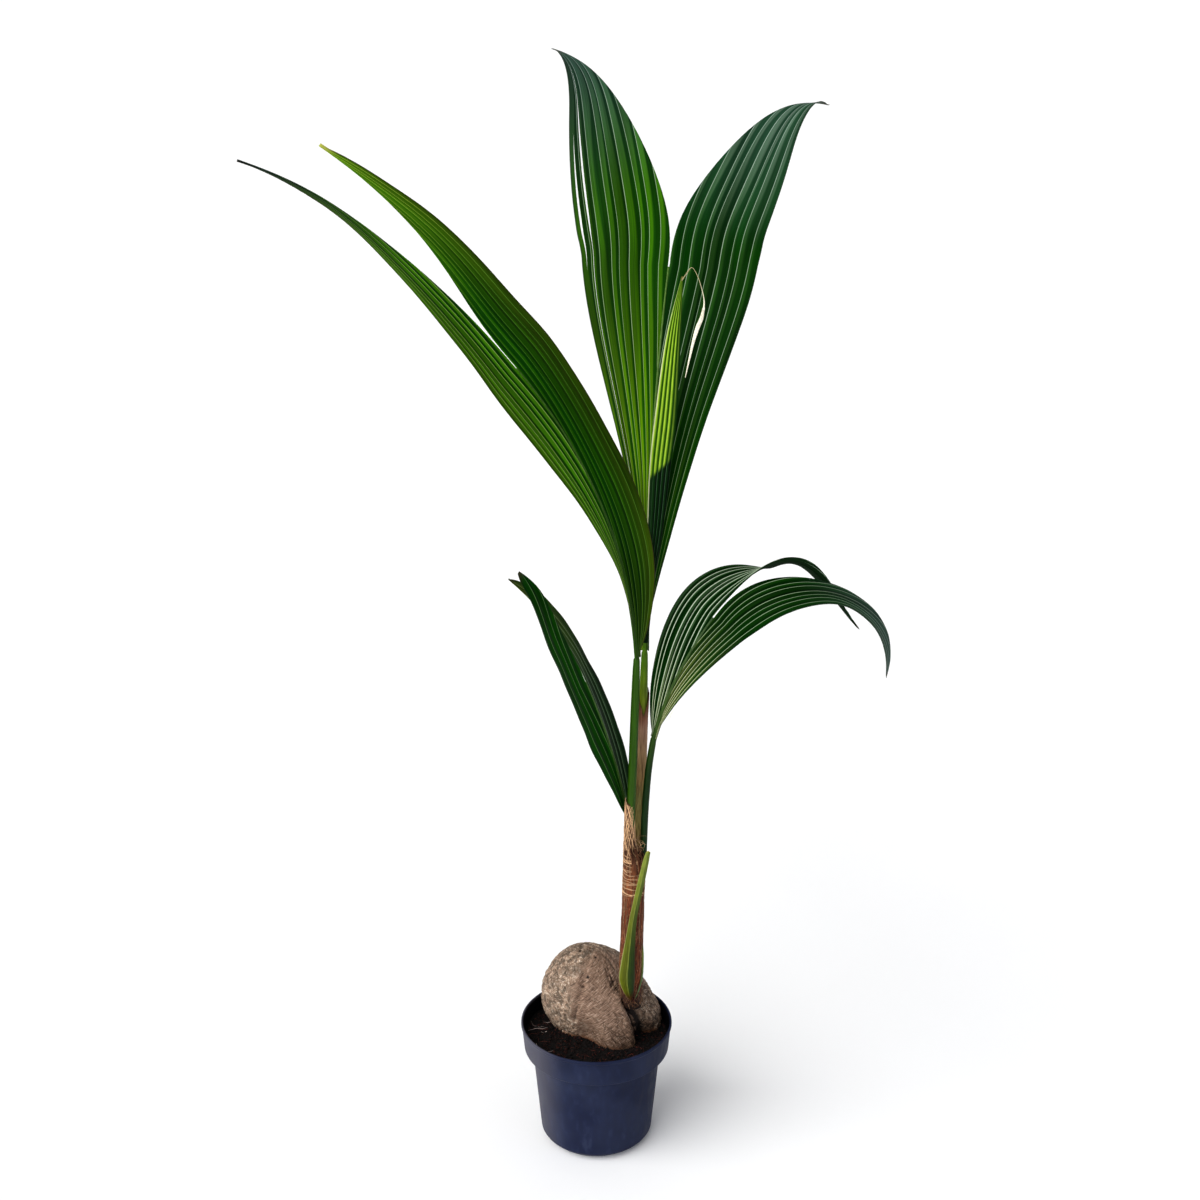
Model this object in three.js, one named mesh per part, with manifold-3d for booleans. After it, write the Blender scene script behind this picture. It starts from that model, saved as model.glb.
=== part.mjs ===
// A young coconut palm, sprouted from its own nut and standing in a nursery pot.
// Millimetres, +Z up. The origin is the middle of the pot's flat underside.
import * as THREE from 'three';
import { mergeVertices } from 'three/addons/utils/BufferGeometryUtils.js';
import Module from 'manifold-3d';

const wasm = await Module();
wasm.setup();

// ---- driving dimensions -------------------------------------------------------------

const GAP = 0.3; // clearance between neighbours that touch on the plant

const POT = {
  height: 162,
  rimRadius: 95,
  lipWidth: 1.2, // a rounded lip, down to its foot
  lipHeight: 5,
  lipRound: 3,
  bandFootRadius: 91, // the straight band under the rim
  bandFootHeight: 126,
  stepRadius: 80.6, // the band steps in to the body here
  stepHeight: 123,
  baseRadius: 70.3,
  baseHeight: 10,
  cornerRadius: 62.5, // the bottom corner slopes in, from here down to the flat foot
  cornerHeight: 2.5,
  footRadius: 57,
  wall: 1.6,
  floor: 2.4,
  drainBearings: [25, 155, 205, 335], // degrees, two on each side
  drainWidth: 20,
  drainHeight: 11,
  drainDepth: 14,
  drainRadius: 68, // from the middle to a drain's own middle
  sides: 45,
};

const SOIL = { top: 141, mound: 2, moundRadius: 50, sides: 36 };

const NUT = {
  centre: [12, 29, 162],
  radii: [60, 59, 66],
  facets: [30, 18], // round it, and from its top to its foot
  // each swelling or hollow: the way it faces, its height, and how tight it is
  swellings: [
    { facing: [-0.55, 0.1, 0.85], height: 25, tightness: 4 },
    { facing: [-0.9, 0.1, 0.1], height: 17, tightness: 5 },
    { facing: [0.3, -0.8, -0.45], height: 16, tightness: 7 },
    { facing: [0.97, 0, -0.3], height: 14, tightness: 7 },
    { facing: [0.75, -0.35, 0.55], height: -16, tightness: 7 },
    { facing: [-0.45, -0.85, -0.2], height: -11, tightness: 14 },
    { facing: [0.68, -0.65, -0.35], height: -12, tightness: 30 },
    { facing: [0.6, 0.5, -0.6], height: -5, tightness: 7 },
  ],
};

// The fibre-wrapped stem: places up its middle, and its radius at each.
const STEM = {
  path: [
    [46, -12, 188],
    [42.5, -15.5, 224],
    [43.8, -15, 291],
    [44.8, -15, 340],
    [45.5, -15, 392],
    [41.6, -15.8, 430],
    [41, -16.2, 475],
  ],
  radii: [10, 14, 13.5, 13.2, 12.4, 7.4, 6.2],
};

const SCALE_LEAF = {
  path: [
    [33, -38.5, 232],
    [38, -36.5, 258],
    [41.5, -34, 282],
    [46.5, -33, 316],
    [50.5, -32.5, 350],
    [55.5, -31, 385],
    [60.5, -29, 415],
  ],
  halfWidths: [3, 6, 5, 4.2, 4.2, 4.2, 0.8],
  thickness: 2.4,
};

const SPEAR = {
  path: [
    [57.5, 3, 668],
    [62, 9, 744],
    [68, 15, 808],
    [72.5, 19, 873],
    [78.5, 23, 931],
    [86, 28, 1019],
    [95, 30, 1088],
  ],
  halfWidths: [3, 6, 9.5, 12, 12.5, 8.5, 1],
  thickness: 7,
};

const BLADE_THICKNESS = 2;
const NARROWEST_BLADE = 1.5;
const RIB_AT_FOOT = 3.2; // radius of a midrib where the blade begins
const RIB_AT_NOTCH = 1.2; // and where it ends, at the notch between the lobes
const RIB_FADE = 60; // past the notch, the two lobes draw together over this length
const GROWTH_STEPS = 240;
const STATION_EVERY = 12;

// Each leaf is one stalk and midrib with a lobe on each side. Headings and rises are
// degrees along the growth: a heading is the bearing from +X, a rise is the slope above
// level. The midrib turns evenly from its first values to its last, and each lobe's inner
// edge goes on from there through three more. Roll tips a lobe about its inner edge, at
// four places from foot to tip. "peak" moves the widest place and "fullness" rounds it.
const LEAVES = {
  upright: {
    stalk: [[48.5, -4, 385], [50, 0.5, 440], [54, 7, 530]],
    stalkRadius: 5.5,
    foot: [57, 12, 655],
    facing: 85,
    rib: { length: 449, heading: [81, 74], rise: [86, 64] },
    left: {
      length: 324, width: 107, peak: 1.66, fullness: 1.24,
      heading: [144, 139, 140], rise: [64, 44, 12], roll: [8, 6, 2, 7],
    },
    right: {
      length: 297, width: 104, peak: 1.5, fullness: 0.93,
      heading: [22, 18, 26], rise: [52, 35, -11], roll: [7, 29, 6, 6],
    },
  },
  sweeping: {
    stalk: [[41, -16.5, 440], [44, -18, 547]],
    stalkRadius: 4.8,
    foot: [47, -15, 656],
    facing: 190,
    rib: { length: 377, heading: [198, 187], rise: [86, 51] },
    left: {
      length: 362, width: 66, peak: 1.14, fullness: 1.28,
      heading: [192, 194, 190], rise: [44, 36, 20], roll: [-18, -35, -23, -5],
    },
    right: {
      length: 310, width: 70, peak: 0.86, fullness: 0.98,
      heading: [179, 173, 174], rise: [58, 45, 34], roll: [94, 43, 50, 36],
    },
  },
  short: {
    stalk: [[38, -7, 385], [38, -3.5, 415]],
    stalkRadius: 3.6,
    foot: [38, 0, 443],
    facing: 197,
    rib: { length: 191, heading: [195, 197], rise: [80, 68] },
    left: {
      length: 166, width: 48, peak: 1.14, fullness: 0.53,
      heading: [201, 201, 199], rise: [65, 65, 38], roll: [-33, -38, -36, -42],
    },
    right: {
      length: 158, width: 50, peak: 0.85, fullness: 0.65,
      heading: [194, 187, 177], rise: [59, 53, 42], roll: [44, 29, 22, 42],
    },
  },
  arching: {
    stalk: [[57, -8, 395], [58.5, -8, 452], [62, -8, 508]],
    stalkRadius: 3.9,
    foot: [68, -8, 552],
    facing: -8,
    bend: 0.62, // where the lobes turn over, as a part of the whole length
    rib: { length: 170, heading: [-6, -10], rise: [76, 57] },
    left: {
      length: 252, width: 62, peak: 1.68, fullness: 0.42,
      heading: [11, 12, 19], rise: [30, -53, -54], roll: [64, 70, -25, -14],
    },
    right: {
      length: 305, width: 65, peak: 1.68, fullness: 0.62,
      heading: [6, 4, -11], rise: [0, -41, -102], roll: [-40, -71, 0, -13],
    },
  },
};

const COLOURS = {
  pot: { color: '#2f3646', roughness: 0.55 },
  soil: { color: '#1d1310', roughness: 0.95 },
  husk: { color: '#8d7d68', roughness: 0.85 },
  fibre: { color: '#7a4f33', roughness: 0.85 },
  blade: { color: '#1d5a1c', roughness: 0.45 },
  young: { color: '#7ea21f', roughness: 0.5 },
};

// ---- shapes ------------------------------------------------------------------------------

const { degToRad, lerp, clamp } = THREE.MathUtils;

// Six times the volume, by the divergence theorem: it is negative where faces point inwards.
function signedVolume(positions, indices) {
  const [a, b, c] = [new THREE.Vector3(), new THREE.Vector3(), new THREE.Vector3()];
  let sum = 0;
  for (let i = 0; i < indices.length; i += 3) {
    a.fromArray(positions, indices[i] * 3);
    b.fromArray(positions, indices[i + 1] * 3);
    c.fromArray(positions, indices[i + 2] * 3);
    sum += a.dot(b.cross(c));
  }
  return sum;
}

// Joins a row of closed rings, all with the same number of points, into one closed body.
// The far half of each ring is split by the other diagonals, so that the two faces of a
// thin blade stay parallel where it twists.
function loft(rings) {
  const around = rings[0].length;
  const positions = rings.flat().flatMap((point) => point.toArray());
  const indices = [];
  for (let row = 0; row < rings.length - 1; row += 1) {
    for (let i = 0; i < around; i += 1) {
      const next = (i + 1) % around;
      const a = row * around + i;
      const b = row * around + next;
      if (i < around / 2) indices.push(a, b, a + around, b, b + around, a + around);
      else indices.push(a, b, b + around, a, b + around, a + around);
    }
  }
  const last = (rings.length - 1) * around;
  for (let i = 1; i < around - 1; i += 1) {
    indices.push(0, i + 1, i);
    indices.push(last, last + i, last + i + 1);
  }
  if (signedVolume(positions, indices) < 0) indices.reverse();
  const geometry = new THREE.BufferGeometry();
  geometry.setAttribute('position', new THREE.Float32BufferAttribute(positions, 3));
  geometry.setIndex(indices);
  return geometry;
}

function toSolid(geometry) {
  const bare = geometry.clone();
  bare.deleteAttribute('normal');
  bare.deleteAttribute('uv');
  const merged = mergeVertices(bare);
  return new wasm.Manifold(new wasm.Mesh({
    numProp: 3,
    vertProperties: new Float32Array(merged.attributes.position.array),
    triVerts: new Uint32Array(merged.index.array),
  }));
}

function toGeometry(solid) {
  const mesh = solid.getMesh();
  const geometry = new THREE.BufferGeometry();
  geometry.setAttribute('position', new THREE.BufferAttribute(mesh.vertProperties, 3));
  geometry.setIndex(new THREE.BufferAttribute(mesh.triVerts, 1));
  geometry.computeVertexNormals();
  return geometry;
}

function cutAway(geometry, tools) {
  const cut = tools.reduce((solid, tool) => solid.subtract(toSolid(tool)), toSolid(geometry));
  return toGeometry(cut);
}

// The value a part of the way, s, along a row of evenly spaced ones, on a smooth curve.
function along(values, s) {
  const last = values.length - 1;
  const place = clamp(s, 0, 1) * last;
  const i = Math.min(Math.floor(place), last - 1);
  const u = place - i;
  const at = (k) => values[clamp(k, 0, last)];
  const [a, b, c, d] = [at(i - 1), at(i), at(i + 1), at(i + 2)];
  return b + 0.5 * u * (c - a + u * (2 * a - 5 * b + 4 * c - d + u * (3 * (b - c) + d - a)));
}

function toVectors(places) {
  return places.map((place) => new THREE.Vector3(...place));
}

// An oval ring about a point: the two half widths lie along the two given directions.
function ovalRing(centre, across, through, halfAcross, halfThrough, sides) {
  const ring = [];
  for (let i = 0; i < sides; i += 1) {
    const turn = (i / sides) * 2 * Math.PI;
    const point = centre.clone();
    point.addScaledVector(across, halfAcross * Math.cos(turn));
    point.addScaledVector(through, halfThrough * Math.sin(turn));
    ring.push(point);
  }
  return ring;
}

// A round limb along a smooth path, with a radius for each of its named places.
function limb(places, radii, sides, steps) {
  const curve = new THREE.CatmullRomCurve3(toVectors(places));
  const frames = curve.computeFrenetFrames(steps);
  const rings = [];
  for (let i = 0; i <= steps; i += 1) {
    const radius = along(radii, curve.getUtoTmapping(i / steps));
    rings.push(ovalRing(
      curve.getPointAt(i / steps), frames.normals[i], frames.binormals[i], radius, radius, sides,
    ));
  }
  return loft(rings);
}

// A flat leaf along a smooth path, its width lying along X and its thickness along Y.
function flatLeaf(leaf, sides, steps) {
  const curve = new THREE.CatmullRomCurve3(toVectors(leaf.path));
  const acrossLeaf = new THREE.Vector3(1, 0, 0);
  const throughLeaf = new THREE.Vector3(0, 1, 0);
  const widest = Math.max(...leaf.halfWidths);
  const rings = [];
  for (let i = 0; i <= steps; i += 1) {
    const halfWidth = along(leaf.halfWidths, curve.getUtoTmapping(i / steps));
    const halfThickness = (leaf.thickness / 2) * Math.min(1, 0.35 + halfWidth / widest);
    rings.push(ovalRing(
      curve.getPointAt(i / steps), acrossLeaf, throughLeaf, halfWidth, halfThickness, sides,
    ));
  }
  return loft(rings);
}

function ribRadius(leaf, run) {
  return lerp(RIB_AT_FOOT, RIB_AT_NOTCH, clamp(run / leaf.rib.length, 0, 1));
}

function growthDirection(leaf, lobe, run) {
  const { rib } = leaf;
  let heading;
  let rise;
  if (run <= rib.length) {
    heading = lerp(...rib.heading, run / rib.length);
    rise = lerp(...rib.rise, run / rib.length);
  } else {
    const part = (run - rib.length) / lobe.length;
    heading = along([rib.heading[1], ...lobe.heading], part);
    rise = along([rib.rise[1], ...lobe.rise], part);
  }
  const level = Math.cos(degToRad(rise));
  return new THREE.Vector3(
    Math.cos(degToRad(heading)) * level,
    Math.sin(degToRad(heading)) * level,
    Math.sin(degToRad(rise)),
  );
}

// Walks along a lobe's inner edge. Each station holds the edge, the way that the blade
// goes from it, the blade's upper side, and the blade's width.
function growLobe(leaf, lobe, side) {
  const total = leaf.rib.length + lobe.length;
  const step = total / GROWTH_STEPS;
  const facing = degToRad(leaf.facing);
  const levelSide = new THREE.Vector3(Math.sin(facing), -Math.cos(facing), 0);
  const edge = new THREE.Vector3(...leaf.foot);
  const stations = [];
  for (let i = 0; i <= GROWTH_STEPS; i += 1) {
    const run = i * step;
    const t = i / GROWTH_STEPS;
    const tangent = growthDirection(leaf, lobe, run);
    const right = levelSide.clone().projectOnPlane(tangent).normalize();
    const upper = right.clone().cross(tangent);
    const roll = degToRad(along(lobe.roll, t));
    const blade = right.clone().multiplyScalar(side * Math.cos(roll));
    blade.addScaledVector(upper, Math.sin(roll));
    const width = lobe.width * Math.sin(Math.PI * t ** lobe.peak) ** lobe.fullness;
    stations.push({ run, t, tangent, right, upper, blade, width, edge: edge.clone() });
    edge.addScaledVector(growthDirection(leaf, lobe, run + step / 2), step);
  }
  return stations;
}

// The ring round a blade at one station: thin at both edges, thicker between them.
function bladeRing(leaf, station) {
  const pastNotch = Math.max(0, station.run - leaf.rib.length);
  const fade = Math.max(0, 1 - pastNotch / RIB_FADE);
  const inner = (ribRadius(leaf, station.run) + GAP) * fade;
  const outer = Math.max(station.width || 0, inner + NARROWEST_BLADE);
  const normal = station.blade.clone().cross(station.tangent).normalize();
  const across = [0, 1 / 3, 2 / 3, 1];
  const swell = [0.4, 1, 1, 0.4];
  const face = (sign) => across.map((u, k) => {
    const point = station.edge.clone();
    point.addScaledVector(station.blade, lerp(inner, outer, u));
    return point.addScaledVector(normal, (sign * swell[k] * BLADE_THICKNESS) / 2);
  });
  return [...face(1), ...face(-1).reverse()];
}

// The blade of a lobe between two parts of its length.
function bladeOf(leaf, lobe, side, from, to) {
  const first = Math.round(from * GROWTH_STEPS);
  const last = Math.round(to * GROWTH_STEPS);
  const stations = growLobe(leaf, lobe, side).slice(first, last + 1);
  const kept = stations.filter((station, i) => i % STATION_EVERY === 0 || i === stations.length - 1);
  if (from > 0) kept[0].edge.addScaledVector(kept[0].tangent, GAP / 2);
  if (to < 1) kept.at(-1).edge.addScaledVector(kept.at(-1).tangent, -GAP / 2);
  return loft(kept.map((station) => bladeRing(leaf, station)));
}

// A leaf's stalk and midrib in one piece, from inside the stem to the notch. A spare
// thickness makes the same shape a cutting tool that leaves room round it.
function stalkOf(leaf, spare = 0) {
  const sides = 10;
  const stations = growLobe(leaf, leaf.left, -1);
  const ribStations = stations.filter((s, i) => s.run <= leaf.rib.length && i % STATION_EVERY === 0);
  const curve = new THREE.CatmullRomCurve3(toVectors([...leaf.stalk, leaf.foot]));
  const [{ right, upper }] = stations;
  const stalkSteps = 6;
  const rings = [];
  for (let i = 0; i < stalkSteps; i += 1) {
    const radius = lerp(leaf.stalkRadius, RIB_AT_FOOT, (i / stalkSteps) ** 3) + spare;
    rings.push(ovalRing(curve.getPointAt(i / stalkSteps), right, upper, radius, radius, sides));
  }
  ribStations.forEach((s) => {
    const radius = ribRadius(leaf, s.run) + spare;
    rings.push(ovalRing(s.edge, s.right, s.upper, radius, radius, sides));
  });
  return loft(rings);
}

// ---- sub-parts ----------------------------------------------------------------------------

function potProfile() {
  const { wall, floor } = POT;
  const outer = [
    [POT.footRadius, 0],
    [POT.cornerRadius, POT.cornerHeight],
    [POT.baseRadius, POT.baseHeight],
    [POT.stepRadius, POT.stepHeight],
    [POT.bandFootRadius, POT.bandFootHeight],
    [POT.rimRadius - POT.lipWidth, POT.height - POT.lipHeight],
    [POT.rimRadius, POT.height - POT.lipRound],
    [POT.rimRadius - POT.lipWidth / 2, POT.height],
  ];
  const walls = outer.slice(1, -2).map(([radius, height]) => [radius - wall, height + wall]);
  const foot = [POT.footRadius - wall, floor];
  const lip = [POT.rimRadius - POT.lipWidth / 2 - 2 * wall, POT.height];
  return { outer, inner: [foot, ...walls, lip] };
}

function turned(profile, sides) {
  const points = profile.map(([radius, height]) => new THREE.Vector2(radius, height));
  const geometry = new THREE.LatheGeometry(points, sides);
  geometry.rotateX(Math.PI / 2);
  const solid = toSolid(geometry);
  return solid.volume() < 0 ? toGeometry(solid) : geometry;
}

function makePot() {
  const { outer, inner } = potProfile();
  const shell = turned([[0, 0], ...outer, ...inner.reverse(), [0, POT.floor]], POT.sides);
  const drains = POT.drainBearings.map((bearing) => {
    const drain = new THREE.BoxGeometry(POT.drainDepth, POT.drainWidth, POT.drainHeight * 2);
    drain.translate(POT.drainRadius, 0, 0);
    return drain.rotateZ(degToRad(bearing));
  });
  return cutAway(shell, drains);
}

// The nut is an oval body whose surface swells and sinks by the named swellings.
function makeNutBody(spare = 0) {
  const geometry = new THREE.SphereGeometry(1, ...NUT.facets);
  geometry.rotateX(Math.PI / 2);
  const positions = geometry.attributes.position;
  const centre = new THREE.Vector3(...NUT.centre);
  const radii = new THREE.Vector3(...NUT.radii);
  const direction = new THREE.Vector3();
  for (let i = 0; i < positions.count; i += 1) {
    direction.fromBufferAttribute(positions, i).normalize();
    const oval = 1 / direction.clone().divide(radii).length();
    const reach = NUT.swellings.reduce((sum, swelling) => {
      const facing = new THREE.Vector3(...swelling.facing).normalize();
      return sum + swelling.height * Math.exp(swelling.tightness * (direction.dot(facing) - 1));
    }, oval + spare);
    positions.setXYZ(i, ...direction.multiplyScalar(reach).add(centre).toArray());
  }
  return geometry;
}

function makeSoil() {
  const { inner } = potProfile();
  const walls = inner.filter(([, height]) => height < SOIL.top);
  const [below, above] = [walls.at(-1), inner[walls.length]];
  const part = (SOIL.top - below[1]) / (above[1] - below[1]);
  const edge = [lerp(below[0], above[0], part), SOIL.top];
  const sides = walls.map(([radius, height]) => [radius - 2 * GAP, height + GAP]);
  sides.push([edge[0] - 2 * GAP, edge[1]]);
  const floor = sides[0][1];
  const surface = [[SOIL.moundRadius, SOIL.top + SOIL.mound], [0, SOIL.top]];
  const heap = turned([[0, floor], ...sides, ...surface], SOIL.sides);
  return cutAway(heap, [makeNutBody(GAP)]);
}

function stemBody(spare = 0) {
  const radii = STEM.radii.map((radius) => radius + spare);
  return limb(STEM.path, radii, 16, 16);
}

function makeStem() {
  const stalks = Object.values(LEAVES).map((leaf) => stalkOf(leaf, GAP));
  return cutAway(stemBody(), stalks);
}

function material({ color, roughness }) {
  return new THREE.MeshStandardMaterial({ color, roughness, metalness: 0 });
}

function addPart(group, name, geometry, finish) {
  const mesh = new THREE.Mesh(geometry, material(finish));
  mesh.name = name;
  group.add(mesh);
}

function addLeaf(group, name, leaf) {
  addPart(group, `leaf_${name}_rib`, stalkOf(leaf), COLOURS.blade);
  [['left', -1], ['right', 1]].forEach(([half, side]) => {
    const blade = (from, to) => bladeOf(leaf, leaf[half], side, from, to);
    if (leaf.bend) {
      addPart(group, `leaf_${name}_${half}_rising`, blade(0.02, leaf.bend), COLOURS.blade);
      addPart(group, `leaf_${name}_${half}_falling`, blade(leaf.bend, 1), COLOURS.blade);
    } else {
      addPart(group, `leaf_${name}_${half}`, blade(0.02, 1), COLOURS.blade);
    }
  });
}

function makePalm() {
  const palm = new THREE.Group();
  addPart(palm, 'pot', makePot(), COLOURS.pot);
  addPart(palm, 'soil', makeSoil(), COLOURS.soil);
  addPart(palm, 'nut', cutAway(makeNutBody(), [stemBody(GAP)]), COLOURS.husk);
  addPart(palm, 'stem', makeStem(), COLOURS.fibre);
  addPart(palm, 'scale_leaf', flatLeaf(SCALE_LEAF, 8, 12), COLOURS.young);
  addPart(palm, 'spear_leaf', flatLeaf(SPEAR, 10, 14), COLOURS.young);
  Object.entries(LEAVES).forEach(([name, leaf]) => addLeaf(palm, name, leaf));
  return palm;
}

export default makePalm();
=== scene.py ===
import math
from functools import partial

import bmesh
import bpy
import numpy as np
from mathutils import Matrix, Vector, noise


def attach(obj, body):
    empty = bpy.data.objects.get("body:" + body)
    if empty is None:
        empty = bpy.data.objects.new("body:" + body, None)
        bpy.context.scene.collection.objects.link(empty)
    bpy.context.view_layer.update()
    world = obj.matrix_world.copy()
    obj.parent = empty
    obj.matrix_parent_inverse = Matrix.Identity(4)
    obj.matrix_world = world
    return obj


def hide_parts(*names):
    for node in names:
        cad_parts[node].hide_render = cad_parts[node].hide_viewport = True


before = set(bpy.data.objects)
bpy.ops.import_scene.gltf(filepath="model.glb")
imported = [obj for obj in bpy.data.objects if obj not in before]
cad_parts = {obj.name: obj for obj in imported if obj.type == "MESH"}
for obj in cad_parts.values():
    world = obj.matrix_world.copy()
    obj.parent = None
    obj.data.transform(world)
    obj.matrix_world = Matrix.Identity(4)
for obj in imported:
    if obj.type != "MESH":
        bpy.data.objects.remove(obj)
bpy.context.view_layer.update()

mm = 0.001
fullTurn = 2 * math.pi


def linear(hexText):
    # sRGB hex to the linear colour that a shader wants
    parts = [int(hexText[i:i + 2], 16) / 255 for i in (1, 3, 5)]
    flat = [c / 12.92 if c <= 0.04045 else ((c + 0.055) / 1.055) ** 2.4 for c in parts]
    return (*flat, 1.0)


def feed(socket, value):
    # an input takes a number, a colour as hex text, a socket, or a node's first live output
    if isinstance(value, bpy.types.Node):
        value = next(output for output in value.outputs if output.enabled)
    if isinstance(value, bpy.types.NodeSocket):
        socket.id_data.links.new(value, socket)
    else:
        socket.default_value = linear(value) if isinstance(value, str) else value


# what most nodes of these kinds are set to here
usualSettings = {"MapRange": {"interpolation_type": "SMOOTHSTEP"}, "Mix": {"data_type": "RGBA"}}


def addNode(tree, kind, *values, named=(), stops=(), **settings):
    # values go to the node's live inputs in their order, and the named ones by name
    node = tree.nodes.new("ShaderNode" + kind)
    for name, value in {**usualSettings.get(kind, {}), **settings}.items():
        setattr(node, name, value)
    for place, (position, colour) in enumerate(stops):
        elements = node.color_ramp.elements
        element = elements[place] if place < len(elements) else elements.new(position)
        element.position = position
        element.color = linear(colour)
    live = [socket for socket in node.inputs if socket.enabled]
    for socket, value in zip(live, values):
        feed(socket, value)
    for key, value in dict(named).items():
        feed(node.inputs[key], value)
    return node


def newMaterial(name, **shaderInputs):
    # a material, what adds a node to it, and its shader
    material = bpy.data.materials.new(name)
    material.use_nodes = True
    shader = material.node_tree.nodes["Principled BSDF"]
    for key, value in shaderInputs.items():
        shader.inputs[key.replace("_", " ")].default_value = value
    return material, partial(addNode, material.node_tree), shader


def overlaid(add, colour, over, value, low, high, most=1.0):
    # lays one colour over another, more and more as a value runs from low to high
    return add("Mix", add("MapRange", value, low, high, 0.0, most), colour, over)


def shaded(add, colour, value, low, high):
    # darkens or lightens a colour by a pattern that runs from 0.3 to 0.7
    grey = add("MapRange", value, 0.3, 0.7, low, high)
    return add("Mix", 1.0, colour, add("CombineColor", grey, grey, grey), blend_type="MULTIPLY")


def pattern(add, place, stretch, detail, distortion=0.0):
    # a noise over a place, stretched: more repeats along an axis where its number is larger
    wide = add("VectorMath", place, stretch, operation="MULTIPLY")
    return add("TexNoise", named={"Vector": wide, "Scale": 1.0, "Detail": detail, "Distortion": distortion})


def colourByHeight(add, place, heights):
    # heights in mm from the lowest up, each with its colour
    low, high = heights[0][0], heights[-1][0]
    height = add("SeparateXYZ", place).outputs["Z"]
    share = add("MapRange", height, low * mm, high * mm, interpolation_type="LINEAR")
    return add("ValToRGB", share, stops=[((z - low) / (high - low), colour) for z, colour in heights])


def finish(add, shader, colour, height, strength, depth, roughness=None):
    feed(shader.inputs["Base Color"], colour)
    bump = add("Bump", named={"Height": height, "Strength": strength, "Distance": depth})
    feed(shader.inputs["Normal"], bump)
    if roughness is not None:
        feed(shader.inputs["Roughness"], roughness)


def smoothStep(low, high, value):
    share = np.clip((value - low) / (high - low), 0, 1)
    return share * share * (3 - 2 * share)


def alongValues(values, place):
    # the value a part of the way along a row of evenly spaced ones, on a smooth curve
    row = np.asarray(values, float)
    last = len(row) - 1
    spot = np.clip(np.asarray(place, float), 0, 1) * last
    i = np.minimum(spot.astype(int), last - 1)
    u = spot - i
    if row.ndim > 1:
        u = u[..., None]
    a, b, c, d = (row[np.clip(i + k, 0, last)] for k in (-1, 0, 1, 2))
    return b + 0.5 * u * (c - a + u * (2 * a - 5 * b + 4 * c - d + u * (3 * (b - c) + d - a)))


def unit(vectors):
    vectors = np.asarray(vectors, float)
    return vectors / np.linalg.norm(vectors, axis=-1, keepdims=True)


def reliefAt(points, stretch, seed, octaves):
    # a smooth random height, about -1 to 1, at each point; stretch is repeats per unit
    shift = np.array([seed, seed * 1.7, -seed])
    places = np.asarray(points, float) * stretch + shift
    return np.array([noise.fractal(Vector(p), 1.0, 2.0, octaves) for p in places])


def makePiece(name, points, faces, material, attributes=None, smoothAngle=None):
    # points are in millimetres
    mesh = bpy.data.meshes.new(name)
    mesh.from_pydata((np.asarray(points) * mm).tolist(), [], faces)
    mesh.materials.append(material)
    for key, values in (attributes or {}).items():
        layer = mesh.attributes.new(key, "FLOAT", "POINT")
        layer.data.foreach_set("value", np.asarray(values, np.float32).ravel())
    mesh.shade_smooth()
    if smoothAngle:
        mesh.set_sharp_from_angle(angle=math.radians(smoothAngle))
    piece = bpy.data.objects.new(name, mesh)
    bpy.context.collection.objects.link(piece)
    return piece


def faceOutwards(piece):
    work = bmesh.new()
    work.from_mesh(piece.data)
    bmesh.ops.recalc_face_normals(work, faces=work.faces)
    work.to_mesh(piece.data)
    work.free()


def applyModifiers(piece):
    # the piece's mesh becomes what its modifiers make of it
    graph = bpy.context.evaluated_depsgraph_get()
    made = bpy.data.meshes.new_from_object(piece.evaluated_get(graph))
    piece.modifiers.clear()
    piece.data = made


def thicken(piece, thickness):
    shell = piece.modifiers.new("shell", "SOLIDIFY")
    shell.thickness = thickness * mm
    shell.offset = 0
    applyModifiers(piece)


def addPlant(piece, slotName, *nodes):
    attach(piece, "root")
    if nodes:
        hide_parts(*nodes)


def skin(rings, closed=True, capped=True):
    # joins a row of rings, each with the same number of points
    rings = np.asarray(rings, float)
    count, sides = rings.shape[:2]
    numbers = np.arange(count * sides).reshape(count, sides)
    onwards = np.roll(numbers, -1, axis=1)
    if not closed:
        numbers, onwards = numbers[:, :-1], onwards[:, :-1]
    quads = np.stack([numbers[:-1], onwards[:-1], onwards[1:], numbers[1:]], -1)
    faces = quads.reshape(-1, 4).tolist()
    if closed and capped:
        faces.append(numbers[0, ::-1].tolist())
        faces.append(numbers[-1].tolist())
    return rings.reshape(-1, 3), faces


def tube(path, radii, sides, flat=1.0):
    # a closed tube along a row of points
    path = np.asarray(path, float)
    radii = np.broadcast_to(np.asarray(radii, float), len(path))
    tangents = unit(np.gradient(path, axis=0))
    side = np.cross(tangents[0], [0.31, 0.17, 0.93])
    turn = np.arange(sides) * fullTurn / sides
    rings = []
    for centre, tangent, radius in zip(path, tangents, radii):
        side = unit(side - tangent * np.dot(side, tangent))
        around = np.outer(np.cos(turn), side) + np.outer(np.sin(turn), np.cross(tangent, side)) * flat
        rings.append(centre + radius * around)
    return skin(rings)


def joined(parts):
    # many small shapes as one mesh
    faces = []
    start = 0
    for points, someFaces in parts:
        faces.extend([start + v for v in face] for face in someFaces)
        start += len(points)
    return np.concatenate([points for points, _ in parts]), faces


def addJoined(name, parts, tones, material, slotName):
    # each part has a tone, so that one material can tell them apart
    shades = np.repeat(tones, [len(points) for points, _ in parts])
    addPlant(makePiece(name, *joined(parts), material, {"tone": shades}), slotName)


def addSheet(name, sheet, material, thickness, slotName, *nodes, facts=None):
    # a thin piece from a grid of places
    points, faces = skin(sheet, closed=False)
    piece = makePiece(name, points, faces, material, facts)
    thicken(piece, thickness)
    addPlant(piece, slotName, *nodes)


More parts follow.
